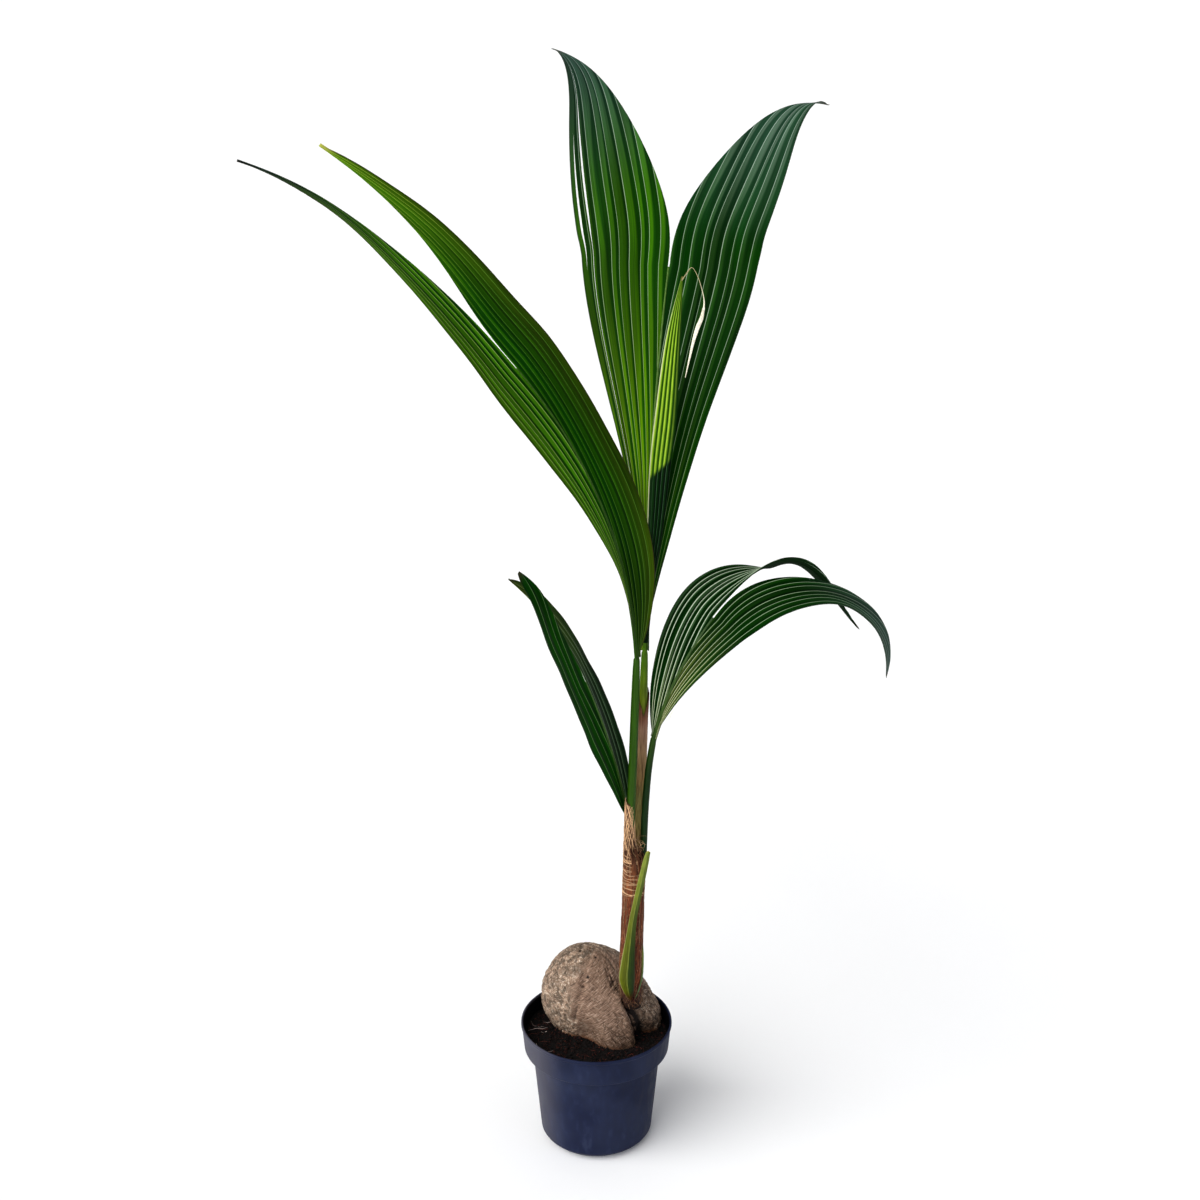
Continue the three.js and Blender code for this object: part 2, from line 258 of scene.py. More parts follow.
def gridFacts(along, across):
    # what a leaf's material needs to know at each place of a grid: how far up, and how far across
    return {"along": np.repeat(along, len(across)), "across": np.tile((across + 1) / 2, len(along))}


cameraLook = {
    "place": (0.0045, -1.88, 1.38),
    "tiltDown": 19.3,  # degrees
    "lens": 51.8,  # mm, on a sensor 36 mm wide
}


def makeCamera(look):
    data = bpy.data.cameras.new("camera")
    data.lens = look["lens"]
    data.sensor_width = 36
    data.clip_end = 2000
    camera = bpy.data.objects.new("camera", data)
    camera.location = look["place"]
    camera.rotation_euler = (math.radians(90 - look["tiltDown"]), 0, 0)
    bpy.context.collection.objects.link(camera)
    bpy.context.scene.camera = camera


potBuild = {
    # from the middle of the foot up: radius, height and rounding in mm
    "outside": ((5, 0, 0), (57, 0, 1), (62.5, 2.5, 3), (70.3, 10, 3), (80.6, 123, 1.6), (91, 126, 2.2),
                (93.8, 157, 0.5), (95, 158.6, 0.6), (94.6, 162, 0.7)),
    "inside": ((92.6, 162, 0.7), (92.2, 158.6, 1), (89.4, 127.6, 1.5), (79, 124.6, 1.5), (68.7, 11.6, 3),
               (60.9, 4.1, 2), (55.4, 2.4, 1), (5, 2.4, 0)),
    "sides": 216,
    "rowStep": 9,  # mm, the longest step from row to row
    # notches in the foot: their bearings in degrees, the radius of the wall there, and the
    # radii that each is cut from and to
    "drains": {"bearings": (25, 155, 205, 335), "width": 20, "height": 11, "round": 2.2,
               "wall": 70, "from": 60, "to": 76},
    "tints": ("#181f38", "#232a42"),
    "dust": "#444b60",
    # painted light on the pot's left side, where the light falls
    "paintedLightOnLeft": "#646166",
    # painted shade on the inside of the pot
    "inner": "#05060c",
}


def roundedLine(corners):
    # a row of places whose corners are rounded off by the third number of each
    steps = 6
    places = []
    for i, (x, y, rounding) in enumerate(corners):
        here = np.array([x, y], float)
        if rounding == 0:
            places.append(here)
            continue
        before = unit(np.array(corners[i - 1][:2]) - here) * rounding
        after = unit(np.array(corners[(i + 1) % len(corners)][:2]) - here) * rounding
        for s in np.linspace(0, 1, steps + 1):
            places.append(here + before * (1 - s) ** 2 + after * s ** 2)
    return np.array(places)


def turned(line, sides):
    turn = np.arange(sides) * fullTurn / sides
    around = np.stack([np.cos(turn), np.sin(turn)], -1)
    return [np.column_stack([around * radius, np.full(sides, height)]) for radius, height in line]


def moreRows(line, longest):
    # adds places to a line wherever two are further apart than the longest step
    rows = [line[0]]
    for here, there in zip(line[:-1], line[1:]):
        count = max(1, math.ceil(np.linalg.norm(there - here) / longest))
        rows.extend(here + (there - here) * k / count for k in range(1, count + 1))
    return np.array(rows)


def potMaterial(build):
    # Polypropylene, injection moulded: satin, faintly grained, a little dusty towards the foot.
    material, add, shader = newMaterial("moulded polypropylene", Roughness=0.6, IOR=1.49,
                                        Specular_IOR_Level=0.16)
    place = add("NewGeometry").outputs["Position"]
    axes = add("SeparateXYZ", place)
    # cloudy tint over 60 mm, dust over 8 mm, moulding grain at 1.2 mm
    clouds = pattern(add, place, (16, 16, 16), 2.0)
    dust = pattern(add, place, (120, 120, 50), 5.0)
    grain = pattern(add, place, (800, 800, 800), 2.0)
    colour = overlaid(add, *build["tints"], clouds, 0.35, 0.65)
    dusty = overlaid(add, colour, build["dust"], dust, 0.5, 0.75, 0.25)
    nearFoot = add("MapRange", axes.outputs["Z"], 0.0, 0.07, 1.0, 0.4)
    colour = add("Mix", nearFoot, colour, dusty)
    # painted light: the left side is paler, where the light falls on it
    colour = overlaid(add, colour, build["paintedLightOnLeft"], axes.outputs["X"], -0.035, -0.08, 0.5)
    colour = shaded(add, colour, dust, 0.9, 1.08)
    # painted shade: the inside is nearly black, standing in for the shade that lies in the pot
    inner = add("Attribute", attribute_name="inside").outputs["Fac"]
    colour = add("Mix", inner, colour, build["inner"])
    finish(add, shader, colour, grain, 0.12, 0.0003, add("MapRange", dust, 0.3, 0.7, 0.5, 0.66))
    return material


def makePot(build):
    line = moreRows(roundedLine(build["outside"] + build["inside"]), build["rowStep"])
    points, faces = skin(turned(line, build["sides"]))
    rim = int(np.argmax(line[:, 1]))
    within = np.repeat(np.arange(len(line)) > rim + 8, build["sides"])  # past the rim's rounding
    pot = makePiece("nursery_pot", points, faces, potMaterial(build), {"inside": within})
    faceOutwards(pot)

    drains = build["drains"]
    half = drains["width"] / 2
    arch = roundedLine(((-half, -2, 0), (-half, drains["height"], drains["round"]),
                        (half, drains["height"], drains["round"]), (half, -2, 0)))
    cutterParts = []
    for bearing in np.radians(drains["bearings"]):
        out = np.array([math.cos(bearing), math.sin(bearing), 0])
        across = np.array([-math.sin(bearing), math.cos(bearing), 0])
        ring = arch[:, :1] * across + arch[:, 1:] * np.array([0, 0, 1])
        cutterParts.append(skin([ring + out * drains[key] for key in ("from", "to")]))
    cutters = makePiece("drain_cutters", *joined(cutterParts), pot.data.materials[0])
    faceOutwards(cutters)
    cut = pot.modifiers.new("drains", "BOOLEAN")
    cut.object = cutters
    cut.operation = "DIFFERENCE"
    cut.solver = "MANIFOLD"
    applyModifiers(pot)
    bpy.data.objects.remove(cutters)
    pot.data.set_sharp_from_angle(angle=math.radians(40))
    addPlant(pot, "pot", "pot")
    print("pot: done")


soilBuild = {
    "top": 141.0,  # mm
    "edge": 90.4,  # mm, its radius at the top
    # radius and height down its side, close inside the pot, and the radius that it keeps to at
    # the drain notches in the last two but one
    "walls": ((90.2, 136), (88.6, 128.6), (78.4, 125.4), (68.2, 13), (68.1, 12.4), (60, 4.6), (4, 2.9)),
    "atDrains": 58.5,
    "rings": 84,
    "sides": 260,
    "relief": 2.6,
    "crumbs": 2600,
    "crumbSize": (0.6, 2.6),
    "fibres": 420,
    "chips": 160,
    # pale root threads that lie on the top: places in mm from the pot's middle
    "roots": (
        ((-84, 27), (-80, 18), (-72, 13), (-66, 11)),
        ((-87, 4), (-80, 9), (-75, 11), (-69, 8), (-62, 9)),
        ((-68, 21), (-62, 19), (-56, 22), (-50, 20)),
        ((-70, 2), (-66, 0), (-62, 1)),
        ((-75, -24), (-74, -30), (-71, -34)),
        ((-64, -42), (-58, -43), (-54, -41)),
        ((-40, -62), (-33, -66), (-27, -64)),
        ((30, -70), (37, -72), (43, -68)),
    ),
    "tints": ("#030100", "#100705"),
    "rust": "#451a12",
}


def soilHeight(x, y):
    # clods about 18 mm apart with crumbs of 3 mm on them, and a slight fall to the edge
    seed = 3.0
    places = np.column_stack([np.ravel(x), np.ravel(y), np.zeros(np.size(x))])
    clods = reliefAt(places, 0.055, seed, 5)
    fine = reliefAt(places, 0.35, seed + 4, 3)
    fall = 1.5 * smoothStep(60, 88, np.hypot(np.ravel(x), np.ravel(y)))
    return soilBuild["top"] + 1.2 - fall + soilBuild["relief"] * (0.8 * clods + 0.3 * fine)


def soilMaterial(build):
    # Peat compost, loose and damp: nearly black, with rusty fibres and a faint wet glint.
    material, add, shader = newMaterial("damp peat compost", Roughness=0.85, IOR=1.4)
    place = add("NewGeometry").outputs["Position"]
    tone = add("Attribute", attribute_name="tone").outputs["Fac"]
    clods = pattern(add, place, (140, 140, 140), 6.0)  # crumbs of about 7 mm
    grain = pattern(add, place, (900, 900, 900), 3.0)  # grit of about 1 mm
    colour = overlaid(add, *build["tints"], clods, 0.35, 0.7)
    colour = overlaid(add, colour, build["rust"], tone, 0.6, 1.0, 0.45)
    finish(add, shader, shaded(add, colour, grain, 0.75, 1.3), grain, 0.7, 0.0008)
    return material


def strawMaterial(name, dark, pale):
    # Dry plant fibre: matt, each strand its own tone.
    material, add, shader = newMaterial(name, Roughness=0.75, IOR=1.4)
    tone = add("Attribute", attribute_name="tone").outputs["Fac"]
    flecks = pattern(add, add("NewGeometry").outputs["Position"], (500, 500, 500), 2.0)  # of 2 mm
    colour = shaded(add, add("Mix", tone, dark, pale), flecks, 0.8, 1.15)
    finish(add, shader, colour, flecks, 0.3, 0.0002)
    return material


def crumb(centre, size, chance):
    # an uneven lump: two rings of five points between two ends
    turn = np.arange(5) * fullTurn / 5
    rings = [[(0, 0, 1)], [(math.cos(a) * 0.9, math.sin(a) * 0.9, 0.42) for a in turn],
             [(math.cos(a + 0.6) * 0.9, math.sin(a + 0.6) * 0.9, -0.42) for a in turn], [(0, 0, -1)]]
    shape = np.concatenate([np.array(ring, float) for ring in rings])
    shape *= chance.uniform(0.65, 1.25, (len(shape), 1)) * chance.uniform(0.6, 1.2, 3)
    faces = []
    for k in range(5):
        n = (k + 1) % 5
        faces += [(0, 1 + k, 1 + n), (1 + k, 6 + k, 1 + n), (6 + k, 6 + n, 1 + n), (6 + k, 11, 6 + n)]
    return centre + shape * size, faces


def makeSoil(build):
    chance = np.random.default_rng(7)
    radii = build["edge"] * np.linspace(0.004, 1, build["rings"]) ** 0.85
    rings = turned([(radius, 0) for radius in radii], build["sides"])
    for ring in rings:
        ring[:, 2] = soilHeight(ring[:, 0], ring[:, 1])
    rings += turned(build["walls"], build["sides"])
    # no compost is left in the drain notches
    drains = potBuild["drains"]
    turns = np.arange(build["sides"]) * 360 / build["sides"]
    away = np.min(np.abs((turns[:, None] - np.array(drains["bearings"]) + 180) % 360 - 180), axis=1)
    hollow = away < math.degrees(drains["width"] / 2 / drains["wall"])
    for ring in rings[-3:-1]:
        radii = np.hypot(ring[:, 0], ring[:, 1])
        ring[hollow, :2] *= (np.minimum(radii, build["atDrains"]) / radii)[hollow, None]
    points, faces = skin(rings)
    material = soilMaterial(build)
    soil = makePiece("compost", points, faces, material, {"tone": np.zeros(len(points))})
    faceOutwards(soil)
    addPlant(soil, "soil", "soil")

    lumps, tones = [], []
    for _ in range(build["crumbs"]):
        bearing = chance.uniform(0, fullTurn)
        radius = build["edge"] * math.sqrt(chance.uniform(0, 0.97))
        x, y = radius * math.cos(bearing), radius * math.sin(bearing)
        low, high = build["crumbSize"]
        size = low + (high - low) * chance.uniform() ** 2.2
        lumps.append(crumb(np.array([x, y, soilHeight(x, y)[0] + size * 0.2]), size, chance))
        tones.append(chance.uniform())
    addJoined("compost_crumbs", lumps, tones, material, "soil")

    strands, tones = [], []
    for number in range(build["fibres"] + build["chips"]):
        isChip = number >= build["fibres"]
        bearing, heading = chance.uniform(0, fullTurn, 2)
        radius = (build["edge"] - 4) * math.sqrt(chance.uniform(0.05, 0.95))
        length = chance.uniform(2, 5) if isChip else chance.uniform(4, 14)
        steps = np.linspace(-0.5, 0.5, 3 if isChip else 6)
        ahead = length * steps
        aside = chance.uniform(-1, 1) * length * 0.5 * steps ** 2
        cos, sin = math.cos(heading), math.sin(heading)
        x = radius * math.cos(bearing) + ahead * cos - aside * sin
        y = radius * math.sin(bearing) + ahead * sin + aside * cos
        z = soilHeight(x, y) + chance.uniform(0.3, 1.2)
        size = chance.uniform(0.4, 0.8) if isChip else chance.uniform(0.12, 0.3)
        strands.append(tube(np.column_stack([x, y, z]), size, 4, 0.5 if isChip else 1.0))
        tones.append(chance.uniform() ** (1.2 if isChip else 2.5))
    addJoined("compost_fibres", strands, tones, strawMaterial("peat fibre", "#1c0b08", "#6b3428"), "soil")

    roots = []
    share = np.linspace(0, 1, 14)
    for path in build["roots"]:
        line = alongValues(path, share)
        line += chance.uniform(-0.25, 0.25, line.shape)
        height = soilHeight(line[:, 0], line[:, 1]) + 1.1
        radii = 0.42 * np.sin(0.35 + 2.45 * share)
        roots.append(tube(np.column_stack([line, height]), radii, 5))
    tones = np.arange(len(roots)) * 0.618034 % 1
    addJoined("root_threads", roots, tones, strawMaterial("dry root", "#8d7d78", "#c9bab2"), "soil")
    print("compost: done")


nutBuild = {
    "centre": (12, 29, 162),
    "radii": (60, 59, 66),
    "meanRadius": 66,  # mm, which turns an angle to a length along the husk
    # each swelling or hollow: the way it faces, its height, and how tight it is
    "swellings": (
        ((-0.55, 0.1, 0.85), 25, 4), ((-0.9, 0.1, 0.1), 17, 5), ((0.3, -0.8, -0.45), 16, 7),
        ((0.97, 0, -0.3), 14, 7), ((0.75, -0.35, 0.55), -16, 7), ((-0.45, -0.85, -0.2), -11, 14),
        ((0.68, -0.65, -0.35), -12, 30), ((0.6, 0.5, -0.6), -5, 7),
    ),
    "cells": 100,
    # creases: half width and depth in mm, how dark its painted shade is, and the ways that each faces as it
    # runs
    "creases": (
        (2.6, 1.8, 0.4, ((-.18, 0, .98), (-.27, -.21, .94), (-.35, -.39, .85), (-.40, -.53, .75))),
        (3.0, 3.0, 0.6, ((-.40, -.53, .75), (-.50, -.64, .58), (-.58, -.72, .38), (-.66, -.74, .15))),
        (1.2, 1.6, 0.9, ((0, -.21, .98), (.05, -.36, .93), (.13, -.5, .86), (.22, -.6, .77),
                         (.38, -.65, .66), (.59, -.63, .5))),
        (0.9, 1.2, 0.8, ((-.03, -.27, .96), (.02, -.42, .91), (.08, -.55, .83), (.17, -.66, .73))),
        (1.0, 1.2, 0.8, ((-.09, -.03, 1), (.02, -.12, .99), (.12, -.23, .96), (.23, -.33, .92))),
        (1.4, 1.4, 0.7, ((-.2, .12, .97), (-.02, .06, 1), (.14, -.05, .99), (.3, -.15, .94))),
        (2.2, 2.6, 0.7, ((-.9, -.38, -.23), (-.82, -.53, -.23), (-.71, -.65, -.28), (-.63, -.69, -.36))),
        (5.0, 11.0, 1.0, ((.44, -.7, .58), (.52, -.75, .42), (.57, -.79, .25), (.6, -.8, .04),
                          (.62, -.77, -.18), (.64, -.71, -.36))),
        (8.5, 9.0, 1.0, ((.56, -.68, .45), (.68, -.68, .25), (.73, -.67, .04), (.75, -.63, -.18),
                         (.76, -.56, -.36))),
        (1.6, 1.4, 0.7, ((.94, -.18, .28), (.95, -.3, .1), (.92, -.39, -.07), (.82, -.37, -.45))),
        (1.2, 1.0, 0.6, ((.9, .2, .35), (.97, .1, .1), (.97, -.05, -.2))),
        (1.8, 1.8, 0.6, ((.2, .7, .68), (-.05, .9, .42), (-.2, .97, .1), (-.25, .93, -.3))),
        (1.4, 1.4, 0.6, ((.5, .6, .6), (.55, .8, .2), (.5, .85, -.2))),
    ),
    # small holes, painted dark as shade: the way each faces, and its radius in mm
    "holes": (((-.16, -.16, .97), 1.4), ((-.86, -.14, .49), 1.2), ((-.37, -.02, .93), 1.5),
              ((-.5, .5, .7), 1.3), ((-.3, -.45, .84), 1.8), ((.3, .9, .2), 1.5)),
    # frayed edges, painted dark partly as real frayed fibre and partly as the shade in the gap at the front
    # lobe's right edge: how frayed, half width in mm, how far it wanders, and the ways each faces
    "frayedAlong": (
        (1.0, 13, 0, ((.55, -.8, -.1), (.5, -.8, -.3), (.3, -.85, -.45))),
        (0.8, 12, 0, ((.8, -.5, -.1), (.85, -.4, -.35))),
        (0.85, 7, 2, ((.12, -.55, .83), (.33, -.66, .68), (.5, -.68, .54))),
    ),
    "fibres": 1500,
    "frayed": 620,
    # colours from the hollows between strands to their crests; the palest ones are partly painted highlight
    "felt": ((0.35, "#4a392d"), (0.45, "#776252"), (0.53, "#8f7865"), (0.61, "#ab9683"), (0.7, "#dccfc0")),
    "skin": ((0.32, "#4c3a2f"), (0.44, "#705a4b"), (0.56, "#856d5c"), (0.68, "#a08b7b")),
    "fraysAndShade": ("#1c0f09", "#7a6350"),
    # painted shade in the felt's low places
    "pits": "#4a3f34",
    "damp": "#5c3312",
    # painted shade in the creases, the holes and the gap between the lobes
    "creaseShade": "#0c0705",
}


def ballGrid(cells):
    # the directions and faces of a cube's grid blown up to a ball
    steps = np.tan(np.linspace(-math.pi / 4, math.pi / 4, cells + 1))
    a, b = np.meshgrid(steps, steps, indexing="ij")
    one = np.ones_like(a)
    sheets = ((one, a, b), (-one, b, a), (b, one, a), (a, -one, b), (a, b, one), (b, a, -one))
    places = np.concatenate([np.stack(sheet, -1).reshape(-1, 3) for sheet in sheets])
    numbers = np.arange(len(places)).reshape(6, cells + 1, cells + 1)
    corners = [numbers[:, :-1, :-1], numbers[:, 1:, :-1], numbers[:, 1:, 1:], numbers[:, :-1, 1:]]
    quads = np.stack(corners, -1).reshape(-1, 4)
    _, firsts, where = np.unique(np.round(places, 5), axis=0, return_index=True, return_inverse=True)
    return unit(places[firsts]), where.reshape(-1)[quads].tolist()


def nearness(ways, path):
    # how far each way is, in mm on the husk, from a line of ways
    line = unit(alongValues(path, np.linspace(0, 1, 36)))
    closest = np.max(ways @ line.T, axis=1)
    return np.arccos(np.clip(closest, -1, 1)) * nutBuild["meanRadius"]


def huskAt(ways):
    # the husk's surface the given ways from its middle, and what its material needs to know
    build = nutBuild
    ways = unit(ways)
    reach = 1 / np.linalg.norm(ways / np.array(build["radii"]), axis=1)
    for facing, height, tightness in build["swellings"]:
        reach += height * np.exp(tightness * (ways @ unit(facing) - 1))
    # unevenness about 20 mm and about 7 mm across
    drift = reliefAt(ways, 3.0, 5.0, 3)
    wander = reliefAt(ways, 9.0, 11.0, 3)

    # the smooth front lobe lies past the plane through the ends of the first two creases, and
    # ends towards the back and the right
    leftwards = unit(np.cross(build["creases"][0][3][0], build["creases"][1][3][-1]))
    smooth = smoothStep(-0.09, 0.1, ways @ leftwards + 0.1 * wander + 0.08 * drift)
    smooth = smooth * smoothStep(0.2, -0.1, ways[:, 1]) * smoothStep(0.85, 0.7, ways[:, 0])
    # how much painted shade each place gets from the creases and holes
    crease = np.zeros(len(ways))
    for width, depth, dark, path in build["creases"]:
        away = nearness(ways, path) + 1.2 * wander + 2.4 * drift * (dark < 1)
        # its hollow, and the low ridge pushed up beside it
        reach -= depth * np.exp(-((away / width) ** 2))
        reach += 0.25 * depth * np.exp(-(((away - 2.3 * width) / (1.2 * width)) ** 2))
        broken = np.clip(0.75 + 1.1 * drift + 0.8 * wander, 0.1, 1) if dark < 1 else 1
        crease = np.maximum(crease, dark * broken * np.exp(-((away / (0.8 * width)) ** 2)))
    for facing, radius in build["holes"]:
        away = nearness(ways, (facing, facing))
        reach -= 2.0 * np.exp(-((away / radius) ** 2))
        crease = np.maximum(crease, np.exp(-((away / radius) ** 2)))

    # pitted felt on the left lobe, and slanting wrinkles 3 mm apart on the front one
    slant = ways @ np.array([0.55, 0.2, 0.8]) * 130.2 + 10.5 * drift
    wrinkle = np.sin(slant + 2.0 * wander) * (0.5 + 0.5 * drift)
    felt = reliefAt(ways, 16.0, 2.0, 4)
    pits = np.minimum(0, reliefAt(ways, 11.0, 8.0, 3) + 0.12)
    reach += smooth * 0.16 * wrinkle + (1 - smooth) * (1.1 * felt + 2.2 * pits) + 0.7 * drift
    frayed = np.zeros(len(ways))
    for most, width, sway, path in build["frayedAlong"]:
        away = nearness(ways, path) + sway * drift
        frayed = np.maximum(frayed, most * np.exp(-((away / width) ** 2)))
    # frayed edges stand in strands 4.5 mm apart
    strands = np.sin(ways @ np.array([0.5, 0.3, -0.8]) * 93 + 5 * wander)
    reach += frayed * 0.7 * strands
    points = np.array(build["centre"]) + ways * reach[:, None]
    return points, {
        "smooth": smooth, "crease": crease, "frayed": frayed, "felt": felt + pits, "wrinkle": wrinkle,
        "above": points[:, 2] - soilBuild["top"],
    }


def huskMaterial(build):
    # Coconut husk, dried: felted grey-beige fibre, matt, silvery where the outer skin still
    # holds and paler still with painted highlights on the felt, smoother and pinkish on the
    # front lobe, orange-brown and damp at the compost, with painted shade in its creases.
    material, add, shader = newMaterial("dried coconut husk", Roughness=0.8, IOR=1.42)
    place = add("NewGeometry").outputs["Position"]
    smooth, wrinkle, feltHeight, frayed, above, crease = (
        add("Attribute", attribute_name=name).outputs["Fac"]
        for name in ("smooth", "wrinkle", "felt", "frayed", "above", "crease"))
    # felt strands about 1 mm wide and 4 mm long, drawn at twice that so that they show
    strandsA = pattern(add, place, (430, 200, 150), 5.0, 2.2)
    strandsB = pattern(add, place, (150, 200, 450), 5.0, 2.2)
    # blotches about 17 mm across that lighten and darken the felt, partly painted highlight
    blotches = pattern(add, place, (60, 60, 60), 3.0)
    felt = add("Math", strandsA, strandsB, operation="MAXIMUM")
    feltColour = shaded(add, add("ValToRGB", felt, stops=build["felt"]), blotches, 0.7, 1.2)
    # the skin's slanting lines, 1 mm apart
    slanted = add("VectorRotate", named={"Vector": place, "Angle": 0.65}, rotation_type="Y_AXIS")
    lines = pattern(add, slanted, (140, 180, 950), 4.0, 0.5)
    skinColour = add("ValToRGB", lines, stops=build["skin"])
    skinColour = shaded(add, skinColour, add("MapRange", wrinkle, -1, 1), 0.86, 1.1)
    colour = add("Mix", smooth, feltColour, skinColour)
    # painted shade: the felt is darker in its low places
    low = add("MapRange", feltHeight, -0.5, 0.1, 0.75, 0.0)
    low = add("Math", low, add("MapRange", smooth, 0, 1, 1, 0), operation="MULTIPLY")
    colour = add("Mix", low, colour, build["pits"])
    # frayed fibre colour, dark partly because shade is painted into the gap at the front lobe's right edge
    frayedAndShadedColour = overlaid(add, *build["fraysAndShade"], lines, 0.44, 0.56)
    colour = overlaid(add, colour, frayedAndShadedColour, frayed, 0.2, 0.8, 0.9)
    colour = overlaid(add, colour, build["damp"], above, 8.0, 1.0, 0.8)
    # painted shade: creases and holes are darkened nearly to black
    colour = overlaid(add, colour, build["creaseShade"], crease, 0.15, 0.75, 0.94)
    height = add("Mix", smooth, felt, lines)
    finish(add, shader, colour, height, add("MapRange", smooth, 0, 1, 0.85, 0.35), 0.0016)
    return material


def huskStrands(count, chance, kind):
    # short fibres that lie on the husk, each along a line of ways from its middle
    strands, tones = [], []
    while len(strands) < count:
        way = unit(chance.normal(size=3))
        if kind == "frayed":
            way = unit(np.array([0.5, -0.78, -0.25]) + 0.3 * chance.normal(size=3))
        if way[2] < -0.42:
            continue
        swirl = unit(np.cross(way, [0.3, 0.5, 0.8]) + 0.9 * chance.normal(size=3))
        if kind == "frayed":
            swirl = unit(np.array([0.6, -0.1, -0.75]) + 0.35 * chance.normal(size=3))
        swirl = unit(swirl - way * (swirl @ way))
        length = chance.uniform(4, 10) if kind == "felt" else chance.uniform(6, 15)
        steps = np.linspace(-0.5, 0.5, 5)[:, None] * length / nutBuild["meanRadius"]
        sideways = np.cross(way, swirl) * chance.uniform(-0.5, 0.5)
        path = way + swirl * steps + sideways * steps ** 2 * 8
        strands.append(path)
        tones.append(chance.uniform())
    points, facts = huskAt(np.concatenate(strands))
    points = points.reshape(count, 5, 3)
    smooth, crease = (facts[key].reshape(count, 5).mean(1) for key in ("smooth", "crease"))
    made, kept = [], []
    for line, path, tone, share, hollow in zip(points, strands, tones, smooth, crease):
        if hollow > 0.35 or (kind == "felt" and share > 0.5 and tone < 0.75):
            continue
        lift = 0.1 if kind == "felt" else chance.uniform(0.1, 0.9)
        line = line + unit(path) * (lift * np.array([0, 1, 1, 1, 0.4]))[:, None]
        radius = chance.uniform(0.1, 0.22)
        made.append(tube(line, radius * np.array([0.5, 1, 1, 0.9, 0.3]), 4))
        kept.append(tone)
    return made, kept


def makeNut(build):
    chance = np.random.default_rng(21)
    ways, faces = ballGrid(build["cells"])
    points, facts = huskAt(ways)
    nut = makePiece("coconut_husk", points, faces, huskMaterial(build), facts)
    faceOutwards(nut)
    addPlant(nut, "husk", "nut")
    material = strawMaterial("husk fibre", "#5c4e42", "#a89a88")
    addJoined("husk_fibres", *huskStrands(build["fibres"], chance, "felt"), material, "husk")
    material = strawMaterial("frayed husk fibre", "#1c0e08", "#7d6450")
    addJoined("husk_frayed_fibres", *huskStrands(build["frayed"], chance, "frayed"), material, "husk")
    print("nut: done")


stemBuild = {
    # places up its middle, and its radius at each
    "path": ((46, -12, 188), (42.5, -15.5, 224), (43.8, -15, 291), (44.8, -15, 340),
             (45.3, -15, 388), (40.4, -16, 416), (39.9, -16.2, 445), (40.3, -16.4, 475)),
    "radii": (10, 14, 13.5, 13.2, 12.4, 7.0, 5.6, 5.5),
    "meanRadius": 13,
    "rows": 420,
    "sides": 120,
    "foot": 190,
    "cutHeight": 471,  # the sheath's uneven upper edge
    "netFrom": 398,
    "netStrands": 15,  # in each direction
    "wrapped": (350, 404),  # heights between which strands wrap round it
    "wraps": 24,
    "upright": 320,  # strands that run up the stem
    "hairs": 260,
    "collar": 150,
    "wisps": 16,
    "wispsWithin": ((47, 55), (-26, -14), (408, 422)),
    "curl": ((37.5, -20, 464), (36.2, -21, 472), (34.6, -21, 477), (35.4, -20, 480)),
    # shreds that lap over the stalks: bearing and width in radians, and height in mm
    "shreds": ((-1.5, 0.5, 414), (-0.95, 0.42, 418), (-0.45, 0.4, 412), (0.1, 0.5, 406),
               (0.9, 0.6, 410), (2.0, 0.7, 414)),
    "shredsFrom": 380,
    "colours": ((195, "#140a06"), (212, "#3a1a0e"), (235, "#713a1a"), (270, "#653217"), (335, "#622f15"),
                (372, "#6e3c1e"), (400, "#52301a"), (430, "#3c2414"), (471, "#4a2e1c")),
    "darkFlecks": "#2c130a",
    "paleFlecks": "#c98f62",
}


def stemPoint(height, bearing, lift):
    # a place on the stem's surface, from its height and its bearing in radians
    table = np.linspace(0, 1, 200)
    place = np.interp(height, alongValues(stemBuild["path"], table)[:, 2], table)
    centre = alongValues(stemBuild["path"], place)
    centre[..., 2] = height
    radius = alongValues(stemBuild["radii"], place) + lift
    around = np.stack([np.cos(bearing), np.sin(bearing), np.zeros_like(np.asarray(bearing, float))], -1)
    return centre + around * np.asarray(radius)[..., None]


def stemMaterial(build):
    # Leaf-sheath fibre, dried on the stem: reddish brown, matt, with short dark flecks, paler
    # and more open towards the cut edge.
    material, add, shader = newMaterial("dried palm sheath fibre", Roughness=0.78, IOR=1.42)
    place = add("NewGeometry").outputs["Position"]
    # strands about 1 mm apart that run up the stem, and flecks 1 by 5 mm
    strands = pattern(add, place, (900, 900, 40), 4.0, 0.4)
    flecks = pattern(add, place, (700, 700, 170), 2.0)
    colour = shaded(add, colourByHeight(add, place, build["colours"]), strands, 0.62, 1.4)
    colour = overlaid(add, colour, build["darkFlecks"], flecks, 0.58, 0.68, 0.75)
    colour = overlaid(add, colour, build["paleFlecks"], flecks, 0.42, 0.32, 0.35)
    finish(add, shader, colour, strands, 0.6, 0.0008)
    return material


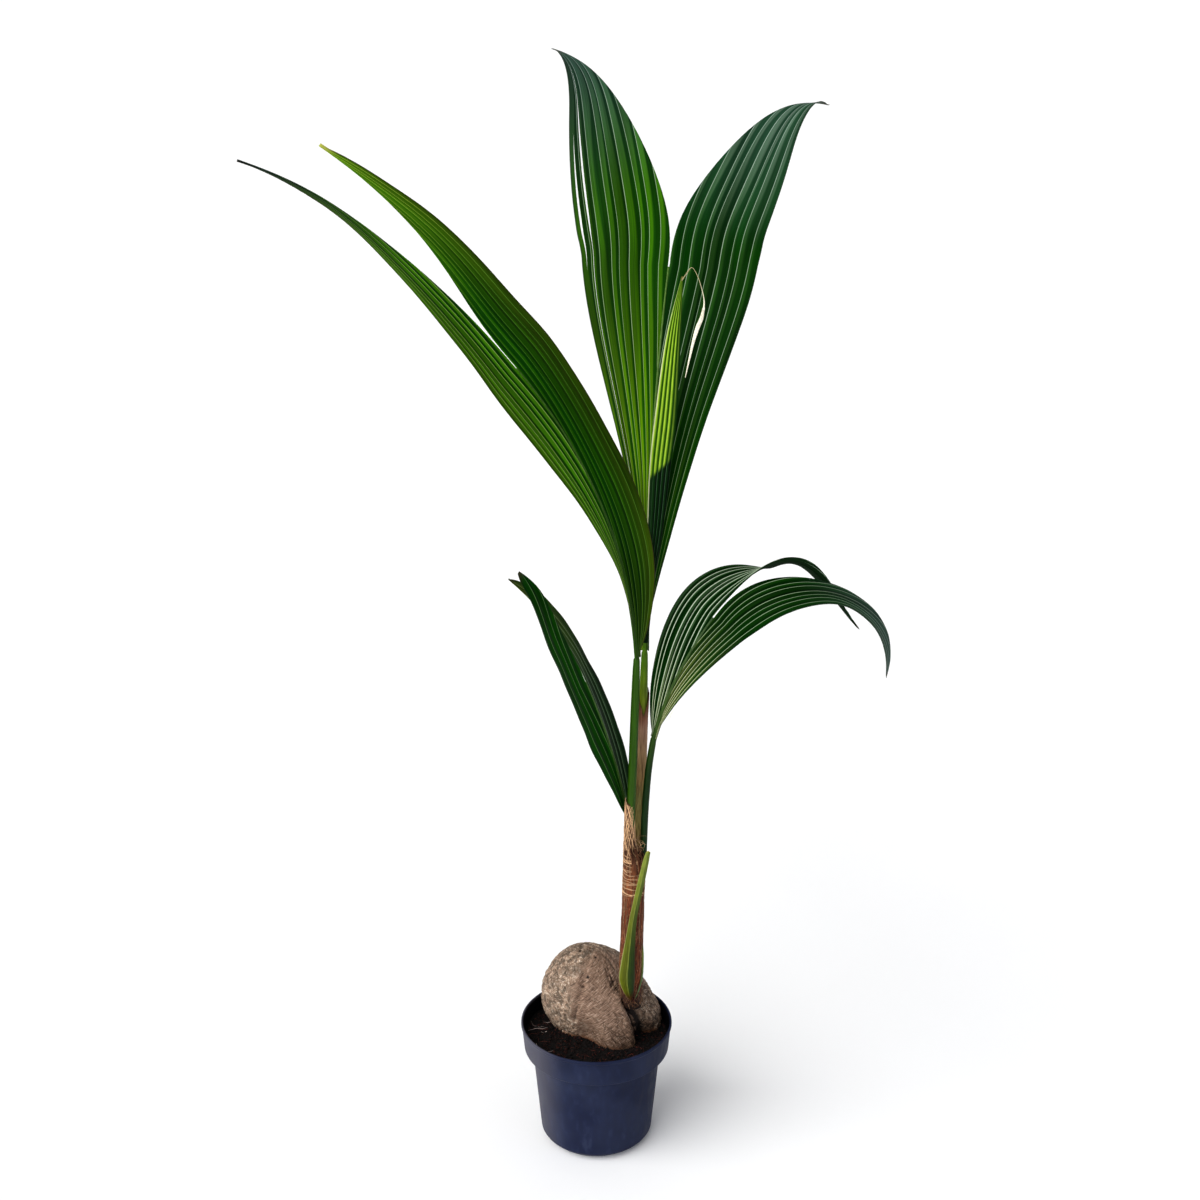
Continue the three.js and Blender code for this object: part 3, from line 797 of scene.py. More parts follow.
def makeStem(build):
    chance = np.random.default_rng(33)
    foot, cut = build["foot"], build["cutHeight"]
    bearings = np.arange(build["sides"]) * fullTurn / build["sides"]
    h, a = np.meshgrid(np.linspace(foot, cut, build["rows"]), bearings, indexing="ij")
    around = np.stack([np.cos(a), np.sin(a)], -1) * build["meanRadius"]
    places = np.concatenate([around, h[..., None] * 0.12], -1).reshape(-1, 3)
    relief = reliefAt(places, 0.55, 4.0, 4).reshape(h.shape)
    strands = reliefAt(places * (1, 1, 0.4), 1.6, 9.0, 2).reshape(h.shape)
    jag = 2.2 * reliefAt(places[-build["sides"]:], 0.4, 6.0, 3)
    h = h + smoothStep(460, cut, h) * (jag[None, :] + 2.0 * np.cos(a - 2.8))
    points, faces = skin(stemPoint(h, a, 0.55 * relief + 0.3 * strands))
    material = stemMaterial(build)
    stem = makePiece("stem_sheath", points, faces, material)
    faceOutwards(stem)
    addPlant(stem, "fibre", "stem")

    lines, tones = [], []

    def lay(heights, bearings, lift, radius, tone):
        lines.append(tube(stemPoint(heights, bearings, lift), radius, 4))
        tones.append(tone)

    # the net: two sets of slanting strands that cross each other
    rows = np.linspace(0, 1, 26)
    for way in (-1, 1):
        for k in range(build["netStrands"]):
            low = build["netFrom"] + chance.uniform(-8, 22)
            high = cut + chance.uniform(-3, 1.5)
            start = (k + chance.uniform(-0.3, 0.3)) * fullTurn / build["netStrands"]
            bearing = start + way * rows * chance.uniform(1.9, 2.9) + 0.06 * np.sin(rows * 19 + k)
            lay(low + (high - low) * rows, bearing, 0.55 + 0.2 * way, chance.uniform(0.3, 0.55),
                chance.uniform(0.6, 1.0))
    # strands wrapped round the stem, nearly level
    low, high = build["wrapped"]
    for k in range(build["wraps"]):
        level = low + (high - low) * (k + chance.uniform(-0.4, 0.4)) / build["wraps"]
        start, span = chance.uniform(0, 6.3), chance.uniform(2.6, 6.0)
        sway = chance.uniform(-5, 5) * rows + 0.7 * np.sin(rows * 14 + k)
        lay(level + sway, start + span * rows, 0.5, chance.uniform(0.3, 0.6), chance.uniform(0.45, 0.95))
    # strands that run up the stem
    rows = rows[::3]
    for _ in range(build["upright"]):
        low = chance.uniform(202, 440)
        high = min(low + chance.uniform(12, 60), cut)
        bearing = chance.uniform(0, 6.3) + chance.uniform(-0.25, 0.25) * rows + 0.03 * np.sin(rows * 20)
        lay(low + (high - low) * rows, bearing, chance.uniform(0.2, 0.6), chance.uniform(0.14, 0.34),
            chance.uniform(0, 0.42))
    # short hairs that stand off the stem
    steps = np.linspace(0, 1, 3)
    for _ in range(build["hairs"]):
        low, bearing = chance.uniform(206, 466), chance.uniform(0, 6.3)
        reach = chance.uniform(0.8, 2.6)
        lay(low + steps * chance.uniform(-1, 5), bearing + steps * chance.uniform(-0.1, 0.1), reach * steps,
            np.array([0.16, 0.13, 0.05]), chance.uniform(0.2, 1.0))
    # dark frayed fibres where the stem leaves the nut
    steps = np.linspace(0, 1, 5)
    for _ in range(build["collar"]):
        bearing, low = chance.uniform(0, 6.3), chance.uniform(197, 226)
        heights = low - steps * chance.uniform(2, 11)
        bearing = bearing + steps * chance.uniform(-0.35, 0.35)
        lift = 0.4 + steps * chance.uniform(0.4, 3.2)
        lay(heights, bearing, lift, chance.uniform(0.18, 0.4) * (1 - 0.6 * steps), chance.uniform(0, 0.3))
    straw = strawMaterial("palm sheath strand", "#3a1a0c", "#e0b88e")
    addJoined("stem_strands", lines, tones, straw, "fibre")

    # torn ends of the sheath: curls at its right shoulder, and one at the cut edge
    wisps, tones = [], []
    for _ in range(build["wisps"]):
        spot = np.array([chance.uniform(*limits) for limits in build["wispsWithin"]])
        heading, turnRate = chance.uniform(0.3, 2.6), chance.uniform(-0.5, 0.5)
        line = [spot]
        for _ in range(int(chance.integers(9, 18))):
            heading += turnRate + chance.uniform(-0.2, 0.2)
            step = np.array([math.cos(heading), chance.uniform(-0.35, 0.25), math.sin(heading)])
            line.append(line[-1] + step * 1.15)
        wisps.append(tube(line, chance.uniform(0.16, 0.34) * np.linspace(1, 0.35, len(line)), 4))
        tones.append(chance.uniform(0.3, 1.0))
    curl = alongValues(build["curl"], np.linspace(0, 1, 26)[::2])
    wisps.append(tube(curl, np.linspace(1.2, 0.5, len(curl)), 6, 0.45))
    tones.append(0.55)
    addJoined("stem_wisps", wisps, tones, straw, "fibre")

    # shreds of the sheath that lap over the stalks above it
    low = build["shredsFrom"]
    rows = np.linspace(0, 1, 24)[:, None]
    across = np.linspace(-0.5, 0.5, 9)[None, :]
    for k, (bearing, width, top) in enumerate(build["shreds"]):
        ragged = 1 + 0.2 * np.sin(9 * across + k) + 0.12 * np.sin(31 * across + 2 * k)
        narrow = 1 - 0.45 * rows ** 2
        lifts = 0.9 + 3.0 * rows ** 2 + 0.3 * np.sin(20 * across + k)
        sheet = stemPoint(low + (top - low) * rows * ragged, bearing + width * across * narrow, lifts)
        addSheet(f"stem_shred_{k}", sheet, material, 0.35, "fibre")
    print("stem: done")


scaleLeafBuild = {
    "path": ((43, -30, 208.5), (39.6, -33.5, 222), (37.6, -36.5, 241), (38.7, -37, 264), (41.6, -36, 296.5),
             (45, -34.5, 326), (50.9, -33.5, 357), (56.4, -32.5, 385), (60, -31, 402.5), (62.3, -29.5, 414)),
    "halfWidths": (1.4, 6.2, 9.6, 8.4, 6.1, 4.6, 4.2, 3.9, 3.3, 2.3),
    "thickness": 0.9,
    "stemRadius": 17,  # mm, of the round that its foot clings to
    # the strip of sheath that shows down the stem's right side
    "margin": ((46, -29.5, 207), (52, -26.5, 222), (56, -22.5, 240), (57, -20.5, 262), (57, -19, 280)),
    "marginWidths": (0.8, 2.0, 1.9, 1.5, 0.4),
    # colours from its left margin to its right one, and at its tip
    "colours": ((0.0, "#8f8a62"), (0.05, "#6c7434"), (0.1, "#565c10"), (0.42, "#464c0a"), (0.5, "#6c7430"),
                (0.56, "#2c3e0a"), (0.9, "#1c2e06"), (1.0, "#3c3016")),
    "tip": (0.965, 1.0, "#9a8a3a"),
    "marginColours": ((0.0, "#3c1c0e"), (0.3, "#54401c"), (0.5, "#3f5c2a"), (1.0, "#5c7350")),
    "marginTip": (0.9, 1.0, "#7a4a2a"),
}


def youngLeafMaterial(name, stops, tip):
    # Fresh palm leaf: thin cuticle, half glossy; the pale margin, the lit half and the dark
    # half lie side by side across it, over a foot that is still dark red.
    material, add, shader = newMaterial(name, Roughness=0.45, IOR=1.45, Specular_IOR_Level=0.22)
    across, up = (add("Attribute", attribute_name=key).outputs["Fac"] for key in ("across", "along"))
    colour = add("ValToRGB", across, stops=stops)
    tipFrom, tipTo, tipColour = tip
    colour = overlaid(add, colour, "#7f8c3c", up, 0.3, 1.0, 0.6)
    colour = overlaid(add, colour, tipColour, up, tipFrom, tipTo, 0.8)
    colour = overlaid(add, colour, "#3c140c", up, 0.14, 0.03, 0.8)
    # veins about 1 mm apart
    veins = pattern(add, add("NewGeometry").outputs["Position"], (900, 900, 60), 3.0)
    finish(add, shader, shaded(add, colour, veins, 0.8, 1.2), veins, 0.3, 0.0004)
    return material


def makeScaleLeaf(build):
    rows = np.linspace(0, 1, 150)
    across = np.linspace(-1, 1, 25)
    centres = alongValues(build["path"], rows)[:, None, :]
    side = across * alongValues(build["halfWidths"], rows)[:, None]
    wrap = smoothStep(0.62, 0.2, rows)[:, None]
    keel = 0.42 * np.abs(side) * (1 - wrap)
    around = build["stemRadius"]
    cling = (around - np.sqrt(around ** 2 - side ** 2)) * wrap
    curl = 0.5 * np.sin(rows * 9)[:, None] * across ** 2
    droop = 2.2 * np.abs(across) * smoothStep(0.9, 1.0, rows)[:, None]
    sheet = centres + np.stack([side, keel + cling + curl, -droop], -1)
    material = youngLeafMaterial("palm scale leaf", build["colours"], build["tip"])
    addSheet("scale_leaf_blade", sheet, material, build["thickness"], "young_leaf", "scale_leaf",
             facts=gridFacts(rows, across))

    rows = np.linspace(0, 1, 60)
    across = np.linspace(-1, 1, 9)
    side = across * alongValues(build["marginWidths"], rows)[:, None]
    sheet = alongValues(build["margin"], rows)[:, None, :] + side[..., None] * unit((0.75, 0.66, 0))
    material = youngLeafMaterial("palm scale leaf margin", build["marginColours"], build["marginTip"])
    addSheet("scale_leaf_margin", sheet, material, build["thickness"], "young_leaf",
             facts=gridFacts(rows, across))
    print("scale leaf: done")


spearBuild = {
    "path": ((57.5, 3, 668), (62, 9, 744), (68, 15, 808), (72.5, 19, 873), (78.5, 23, 931),
             (86, 28, 1019), (95, 30, 1088)),
    "halfWidths": (3, 6, 9.5, 12, 12.5, 8.5, 0.8),
    "thickness": 6.2,
    "rows": 260,
    "sides": 120,
    "pleats": 5,
    "pleatDepth": 1.5,
    # colours across a pleat: where sunlight is painted on the leaf, and where shadow is painted on it
    "young": ((0.0, "#1a440a"), (0.12, "#6c8e20"), (0.3, "#a4c444"), (0.5, "#6c9018"), (0.78, "#30600c"),
              (0.88, "#143c08"), (1.0, "#1f4c0a")),
    "inShadow": ((0.0, "#56705a"), (0.08, "#0c320a"), (0.4, "#052605"), (0.55, "#021a04"), (0.94, "#011603"),
              (1.0, "#4c6650")),
}


def spearMaterial(build):
    # The closed new leaf: pleats packed edge to edge, with painted sunlight making its upper part
    # yellow-green, and painted shadow making it dark lower down.
    material, add, shader = newMaterial("new palm leaf", Roughness=0.5, IOR=1.45, Specular_IOR_Level=0.08)
    up, across, pleats = (add("Attribute", attribute_name=key).outputs["Fac"]
                          for key in ("along", "across", "pleat"))
    pleat = add("Math", pleats, operation="FRACT")
    young = add("ValToRGB", pleat, stops=build["young"])
    inShadow = add("ValToRGB", pleat, stops=build["inShadow"])
    # painted light: low down its left part is paler and greyer; painted shade darkens the right of the
    # sunlit part; and the painted shadow's edge runs slanting across the leaf
    inShadow = overlaid(add, inShadow, "#1c3c1a", across, 0.36, 0.2, 0.6)
    young = overlaid(add, young, "#0c3408", across, 0.68, 0.92, 0.85)
    slant = add("Math", across, -0.06, up, operation="MULTIPLY_ADD")
    colour = overlaid(add, inShadow, young, slant, 0.46, 0.485)
    # a dry margin, and a dull tip that ends in brown
    colour = overlaid(add, colour, "#c4c6a0", across, 0.07, 0.03, 0.8)
    colour = overlaid(add, colour, "#4c6e1c", up, 0.8, 0.97, 0.6)
    colour = overlaid(add, colour, "#8f7d4a", up, 0.975, 1.0, 0.9)
    # veins about 1 mm apart
    veins = pattern(add, add("NewGeometry").outputs["Position"], (1000, 1000, 30), 3.0)
    finish(add, shader, shaded(add, colour, veins, 0.85, 1.15), veins, 0.3, 0.0004)
    return material


def makeSpear(build):
    rows = np.linspace(0, 1, build["rows"])
    turn = np.arange(build["sides"]) * fullTurn / build["sides"]
    centres = alongValues(build["path"], rows)[:, None, :]
    widths = alongValues(build["halfWidths"], rows)[:, None]
    across = -np.cos(turn)
    pleat = (across + 1) / 2 * build["pleats"]
    f = pleat % 1
    ridge = np.where(f < 0.55, f / 0.55, (1 - f) / 0.45) - 0.5
    share = np.minimum(1, 0.3 + widths / max(build["halfWidths"]))
    outward = np.sign(np.sin(turn)) * np.minimum(1, 4 * np.abs(np.sin(turn)))
    depth = (build["thickness"] / 2 * np.sin(turn) + outward * build["pleatDepth"] * ridge) * share
    points, faces = skin(centres + np.stack([widths * across, depth, 0 * depth], -1))
    facts = {**gridFacts(rows, across), "pleat": np.tile(pleat, len(rows))}
    spear = makePiece("spear_leaf_pleats", points, faces, spearMaterial(build), facts, 24)
    faceOutwards(spear)
    addPlant(spear, "young_leaf", "spear_leaf")
    print("spear leaf: done")


# The same growth as the solids, in degrees and mm. "folds" is how many pleats a lobe has,
# "foldsAtFoot" the share of them that starts at its foot, "steep" the slope of a pleat's sides,
# and "tailTurn" how far its tail turns on edge.
leaves = {
    "upright": {
        "stalk": [(48.5, -4, 385), (50, 0.5, 440), (54, 7, 530)],
        "stalkRadius": 5.5,
        "foot": (57, 12, 655),
        "facing": 85,
        "rib": {"length": 449, "heading": (81, 74), "rise": (86, 64)},
        "left": {
            "length": 324, "width": 107, "peak": 1.66, "fullness": 1.24,
            "heading": (144, 139, 140), "rise": (64, 44, 12), "roll": (8, 6, 2, 7),
            "folds": 9, "foldsAtFoot": 0.55, "steep": 7, "veinsOn": -1, "cup": 0.03, "wave": 0.7,
            "slits": ({"at": 8.5, "from": 0.56, "to": 0.84, "width": 2.4},
                      {"at": 7.7, "from": 0.62, "to": 0.88, "width": 1.8}),
        },
        "right": {
            "length": 297, "width": 104, "peak": 1.5, "fullness": 0.93,
            "heading": (22, 18, 26), "rise": (52, 35, -11), "roll": (7, 29, 6, 6),
            "folds": 9, "foldsAtFoot": 0.55, "steep": 7, "veinsOn": -1, "cup": 0.03, "wave": 0.7,
        },
    },
    "sweeping": {
        "stalk": [(41, -16.5, 440), (44, -18, 547)],
        "stalkRadius": 4.8,
        "foot": (47, -15, 656),
        "facing": 190,
        "rib": {"length": 377, "heading": (198, 187), "rise": (86, 51)},
        "left": {
            "length": 362, "width": 66, "peak": 1.14, "fullness": 1.28,
            "heading": (192, 194, 190), "rise": (44, 36, 20), "roll": (-18, -35, -23, -5),
            "folds": 7, "foldsAtFoot": 0.6, "steep": 9, "veinsOn": 1, "cup": 0.05, "wave": 1.2,
            "tailTurn": 2.0,
        },
        "right": {
            "length": 310, "width": 70, "peak": 0.86, "fullness": 0.98,
            "heading": (179, 173, 174), "rise": (58, 45, 34), "roll": (94, 43, 50, 36),
            "folds": 8, "foldsAtFoot": 0.6, "steep": 9, "veinsOn": 1, "cup": 0.05, "wave": 1.2,
        },
    },
    "short": {
        "stalk": [(38, -7, 385), (38, -3.5, 415)],
        "stalkRadius": 3.6,
        "foot": (38, 0, 443),
        "facing": 197,
        "rib": {"length": 191, "heading": (195, 197), "rise": (80, 68)},
        "left": {
            "length": 166, "width": 48, "peak": 1.14, "fullness": 0.53,
            "heading": (201, 201, 199), "rise": (65, 65, 38), "roll": (-33, -38, -36, -42),
            "folds": 4, "foldsAtFoot": 0.5, "steep": 8, "veinsOn": 1, "cup": 0.04, "wave": 0.8,
        },
        "right": {
            "length": 158, "width": 50, "peak": 0.85, "fullness": 0.65,
            "heading": (194, 187, 177), "rise": (59, 53, 42), "roll": (44, 29, 22, 42),
            "folds": 4, "foldsAtFoot": 0.5, "steep": 8, "veinsOn": 1, "cup": 0.04, "wave": 0.8,
        },
    },
    "arching": {
        "stalk": [(57, -8, 395), (58.5, -8, 452), (62, -8, 508)],
        "stalkRadius": 3.9,
        "foot": (68, -8, 552),
        "facing": -8,
        "rib": {"length": 170, "heading": (-6, -10), "rise": (76, 57)},
        "left": {
            "length": 252, "width": 62, "peak": 1.68, "fullness": 0.42,
            "heading": (11, 12, 19), "rise": (30, -53, -54), "roll": (64, 70, -25, -14),
            "folds": 8, "foldsAtFoot": 0.5, "steep": 20, "veinsOn": 1, "cup": 0.04, "wave": 0.8,
        },
        "right": {
            "length": 305, "width": 65, "peak": 1.68, "fullness": 0.62,
            "heading": (6, 4, -11), "rise": (0, -41, -102), "roll": (-40, -71, 0, -13),
            "folds": 8, "foldsAtFoot": 0.4, "steep": 15, "veinsOn": 1, "cup": 0.04, "wave": 0.8,
        },
    },
}

bladeBuild = {
    "growthSteps": 240,
    "ribAtFoot": 3.2,  # mm, radius of the midrib
    "ribAtNotch": 1.2,
    "ribFade": 60,  # mm past the notch, over which the lobes draw together
    "thickness": 0.45,
    "tipWidth": 2.8,
    "veinHeight": 0.2,  # how far a fold's vein stands proud
    # places across one pleat: close together by its vein
    "pleatPlaces": (0, 0.03, 0.08, 0.25, 0.45, 0.5, 0.55, 0.75, 0.92, 0.97),
    "uneven": 0.16,  # how much the pleats differ in width
    "runOut": 0.72,  # the share of its folds that a lobe has lost by its tip
    "rounding": 0.15,  # how far a pleat's crests are rounded off
}


def directionOf(heading, rise):
    heading = np.radians(heading)
    rise = np.radians(rise)
    level = np.cos(rise)
    return np.stack([np.cos(heading) * level, np.sin(heading) * level, np.sin(rise)], -1)


def growthDirection(leaf, lobe, run):
    rib = leaf["rib"]
    onRib = run <= rib["length"]
    part = np.clip(run / rib["length"], 0, 1)
    past = (run - rib["length"]) / lobe["length"]
    angles = []
    for kind in ("heading", "rise"):
        low, high = rib[kind]
        beyond = alongValues([high, *lobe[kind]], past)
        angles.append(np.where(onRib, low + (high - low) * part, beyond))
    return directionOf(*angles)


def growLobe(leaf, lobe, side):
    # a walk along the lobe's inner edge, as arrays with one row for each station
    steps = bladeBuild["growthSteps"]
    total = leaf["rib"]["length"] + lobe["length"]
    run = np.linspace(0, total, steps + 1)
    t = run / total
    tangent = growthDirection(leaf, lobe, run)
    middles = growthDirection(leaf, lobe, (run[1:] + run[:-1]) / 2) * (total / steps)
    edge = np.array(leaf["foot"]) + np.concatenate([np.zeros((1, 3)), np.cumsum(middles, axis=0)])
    facing = math.radians(leaf["facing"])
    level = np.array([math.sin(facing), -math.cos(facing), 0])
    right = unit(level - tangent * (tangent @ level)[:, None])
    upper = np.cross(right, tangent)
    roll = np.radians(alongValues(lobe["roll"], t))[:, None]
    blade = side * np.cos(roll) * right + np.sin(roll) * upper
    normal = np.cos(roll) * upper - side * np.sin(roll) * right
    arch = np.clip(np.sin(math.pi * t ** lobe["peak"]), 0, 1)
    width = lobe["width"] * arch ** lobe["fullness"]
    return {"run": run, "t": t, "edge": edge, "blade": blade, "normal": normal, "width": width}


def ribRadius(leaf, run):
    share = np.clip(run / leaf["rib"]["length"], 0, 1)
    return bladeBuild["ribAtFoot"] + (bladeBuild["ribAtNotch"] - bladeBuild["ribAtFoot"]) * share


def bladeMesh(leaf, lobe, side, seed):
    # Folds start one after another up the midrib, and past the notch they run out one after
    # another on the free inner edge, so each column of the mesh follows one line of a pleat.
    rows = growLobe(leaf, lobe, side)
    run, t = rows["run"], rows["t"]
    folds = lobe["folds"]
    columns = [k + p for k in range(folds) for p in bladeBuild["pleatPlaces"]] + [folds]
    slits = lobe.get("slits", ())
    columns = np.array(sorted(columns + [slit["at"] for slit in slits]))
    notch = leaf["rib"]["length"] / run[-1]
    started = lobe["foldsAtFoot"] + (1 - lobe["foldsAtFoot"]) * (t / notch) ** 0.9
    ended = bladeBuild["runOut"] * np.clip((t - notch) / (1 - notch), 0, 1) ** 1.9
    first = folds * np.where(t < notch, 1 - np.clip(started, 0, 1), ended)
    spread = folds - first
    q = np.maximum(columns[None, :], first[:, None])
    u = (q - first[:, None]) / spread[:, None]
    sway = bladeBuild["uneven"] * np.sin(2.3 * q + seed) * np.sin(math.pi * u)
    u = u + sway / spread[:, None]

    fade = np.clip(1 - np.maximum(0, run - leaf["rib"]["length"]) / bladeBuild["ribFade"], 0, 1)
    inner = ribRadius(leaf, run) * 0.7 * fade
    width = np.maximum(rows["width"], inner + bladeBuild["tipWidth"])
    reach = inner[:, None] + (width - inner)[:, None] * u
    foldWidth = ((width - inner) / spread)[:, None]

    # a slit parts the blade between two columns that lie on the same line
    parted = set()
    for slit in slits:
        place = int(np.searchsorted(columns, slit["at"]))
        parted.add(place)
        opened = np.clip((t - slit["from"]) / (slit["to"] - slit["from"]), 0, 1)
        gap = slit["width"] * np.sin(math.pi * opened)[:, None]
        away = columns[None, :] - slit["at"]
        beyond = np.arange(len(columns))[None, :] > place
        push = np.where(beyond, 1, -1) * gap / 2 * np.exp(-(away / 0.8) ** 2)
        reach = np.clip(reach + push, inner[:, None], width[:, None])

    f = q % 1
    zigzag = 4 * np.abs(f - 0.5) - 1
    rounded = zigzag + bladeBuild["rounding"] * (np.cos(fullTurn * f) - zigzag)
    fromInner = reach - inner[:, None]
    fromOuter = width[:, None] - reach
    hold = 0.15 + 0.85 * smoothStep(0, 3.5, fromInner)
    hold = hold * (0.45 + 0.55 * smoothStep(0, 5, fromOuter))
    depth = math.tan(math.radians(lobe["steep"])) * foldWidth / 4 * lobe["veinsOn"]
    vein = bladeBuild["veinHeight"] * np.exp(-((np.minimum(f, 1 - f) / 0.045) ** 2))
    chance = np.random.default_rng(seed)
    phases = chance.uniform(0, fullTurn, 4)
    ripple = sum(np.sin(t * w + p) / (k + 1) for k, (w, p) in enumerate(zip((9, 17, 29, 47), phases)))
    lift = (depth * rounded + vein) * hold
    lift = lift - lobe["cup"] * width[:, None] * 4 * u * (1 - u)
    lift = lift + lobe["wave"] * ripple[:, None] * u * u
    # some tails turn on edge as they dry
    lift = lift - lobe.get("tailTurn", 0) * smoothStep(0.84, 0.97, t)[:, None] * np.minimum(reach / 2, 1)
    points = (rows["edge"][:, None, :] + rows["blade"][:, None, :] * reach[:, :, None]
              + rows["normal"][:, None, :] * lift[:, :, None])

    # columns that haven't started yet all share their row's first live point
    live = np.maximum(np.sum(columns[None, :] <= first[:, None], axis=1) - 1, 0)
    numbers = np.zeros(u.shape, int)
    kept = []
    for i in range(len(t)):
        start = live[i]
        numbers[i, start:] = len(kept) + np.arange(len(columns) - start)
        numbers[i, :start] = len(kept)
        kept.extend((i, k) for k in range(start, len(columns)))
    faces = []
    for i in range(len(t) - 1):
        for k in range(len(columns) - 1):
            if k in parted:
                continue
            loop = [numbers[i, k], numbers[i, k + 1], numbers[i + 1, k + 1], numbers[i + 1, k]]
            face = [int(v) for n, v in enumerate(loop) if v != loop[n - 1]]
            if len(set(face)) > 2:
                faces.append(face if side > 0 else face[::-1])
    rowsOf, columnsOf = np.array(kept).T
    attributes = {
        "fold": q[rowsOf, columnsOf],
        "along": t[rowsOf],
        "across": u[rowsOf, columnsOf],
        "fromOuter": fromOuter[rowsOf, columnsOf],
    }
    return points[rowsOf, columnsOf], faces, attributes


def makeBlade(name, leaf, half, seed):
    side = -1 if half == "left" else 1
    points, faces, attributes = bladeMesh(leaf, leaf[half], side, seed)
    material = bladeMaterial(f"palm leaf {name} {half}", bladeLooks[name][half])
    piece = makePiece(f"leaf_{name}_{half}_blade", points, faces, material, attributes)
    thicken(piece, bladeBuild["thickness"])
    nodes = [f"leaf_{name}_{half}"]
    if name == "arching":
        nodes = [f"leaf_{name}_{half}_rising", f"leaf_{name}_{half}_falling"]
    addPlant(piece, "leaf_blade", *nodes)


# Each lobe's colours at its foot, its middle and its end: the vein, the facet that catches
# the light and the facet that doesn't. "lit" is the share of a pleat that the lit facet takes,
# and it is negative where that facet lies before the vein.
# Painted light: the bright yellow-green foot of the upright left lobe stands in for light shining through
# the thin blade; the grey-green ends of the upright lobes and of the arching right lobe are painted sheen;
# and the pale cream veins of the arching left lobe and at the arching right lobe's foot are painted
# reflections.
bladeLooks = {
    "upright": {
        "left": {"foot": ("#a4b848", "#6f9a10", "#2a5c0c"), "middle": ("#8a9e80", "#2f5a02", "#0e3600"),
                 "end": ("#8ea098", "#3e584e", "#20382f"), "footTo": 0.62, "endFrom": 0.68,
                 "lit": -0.55, "veinWidth": 0.05, "rim": "#2e3a30", "outer": "#1e3018", "outerShare": 0.4},
        "right": {"foot": ("#7c9860", "#305800", "#103600"), "middle": ("#8c9e88", "#1e4212", "#032a00"),
                  "end": ("#94a49a", "#5c7464", "#2c4c3a"), "footTo": 0.5, "endFrom": 0.62,
                  "lit": 0.36, "veinWidth": 0.055, "rim": "#1c261c", "outer": "#0f3a02", "outerShare": 0.3},
    },
    "sweeping": {
        "left": {"foot": ("#8aa05a", "#4c761a", "#184206"), "middle": ("#a0bc68", "#42760f", "#113e02"),
                 "end": ("#445048", "#26362e", "#1c2422"), "footTo": 0.3, "endFrom": 0.72,
                 "lit": 0.5, "veinWidth": 0.065, "rim": "#181c16", "outer": "#557a16", "outerShare": 0.5,
                 "tip": "#181614"},
        "right": {"foot": ("#5c7a3c", "#2c4a08", "#042602"), "middle": ("#5c8c34", "#286004", "#0c3c02"),
                  "end": ("#b4cc50", "#6a9c1c", "#4c8412"), "footTo": 0.35, "endFrom": 0.62,
                  "lit": 0.5, "veinWidth": 0.05, "rim": "#33261f", "outer": "#37480a", "outerShare": 0.75,
                  "tip": "#a8a850"},
    },
    "short": {
        "left": {"foot": ("#5c9a3c", "#1c5c08", "#0c4202"), "middle": ("#7c9f68", "#0e4600", "#033200"),
                 "end": ("#3c6a34", "#144c10", "#0c3c0c"), "footTo": 0.3, "endFrom": 0.9,
                 "lit": 0.5, "veinWidth": 0.055, "rim": "#0a2a0c", "outer": "#0a4202", "outerShare": 0.4},
        "right": {"foot": ("#8aa880", "#124a06", "#032c00"), "middle": ("#8aa884", "#0c4202", "#022600"),
                  "end": ("#7c8c50", "#5f7034", "#4a6028"), "footTo": 0.3, "endFrom": 0.42,
                  "lit": 0.4, "veinWidth": 0.07, "rim": "#101c12", "outer": "#063002", "outerShare": 0.3},
    },
    "arching": {
        "left": {"foot": ("#c6d0b2", "#788a60", "#052804"), "middle": ("#b8c4ae", "#345030", "#012000"),
                 "end": ("#7c907c", "#2c4a2c", "#0a2a0c"), "footTo": 0.3, "endFrom": 0.5,
                 "lit": -0.3, "veinWidth": 0.12, "rim": "#142018", "outer": "#042202", "outerShare": 0.25},
        "right": {"foot": ("#d0d0aa", "#66743c", "#203810"), "middle": ("#869a7c", "#0b3002", "#022000"),
                  "end": ("#84968c", "#485e54", "#30453c"), "footTo": 0.4, "endFrom": 0.55,
                  "lit": 0.45, "veinWidth": 0.075, "rim": "#16201a", "outer": "#0a380a", "outerShare": 0.35},
    },
}


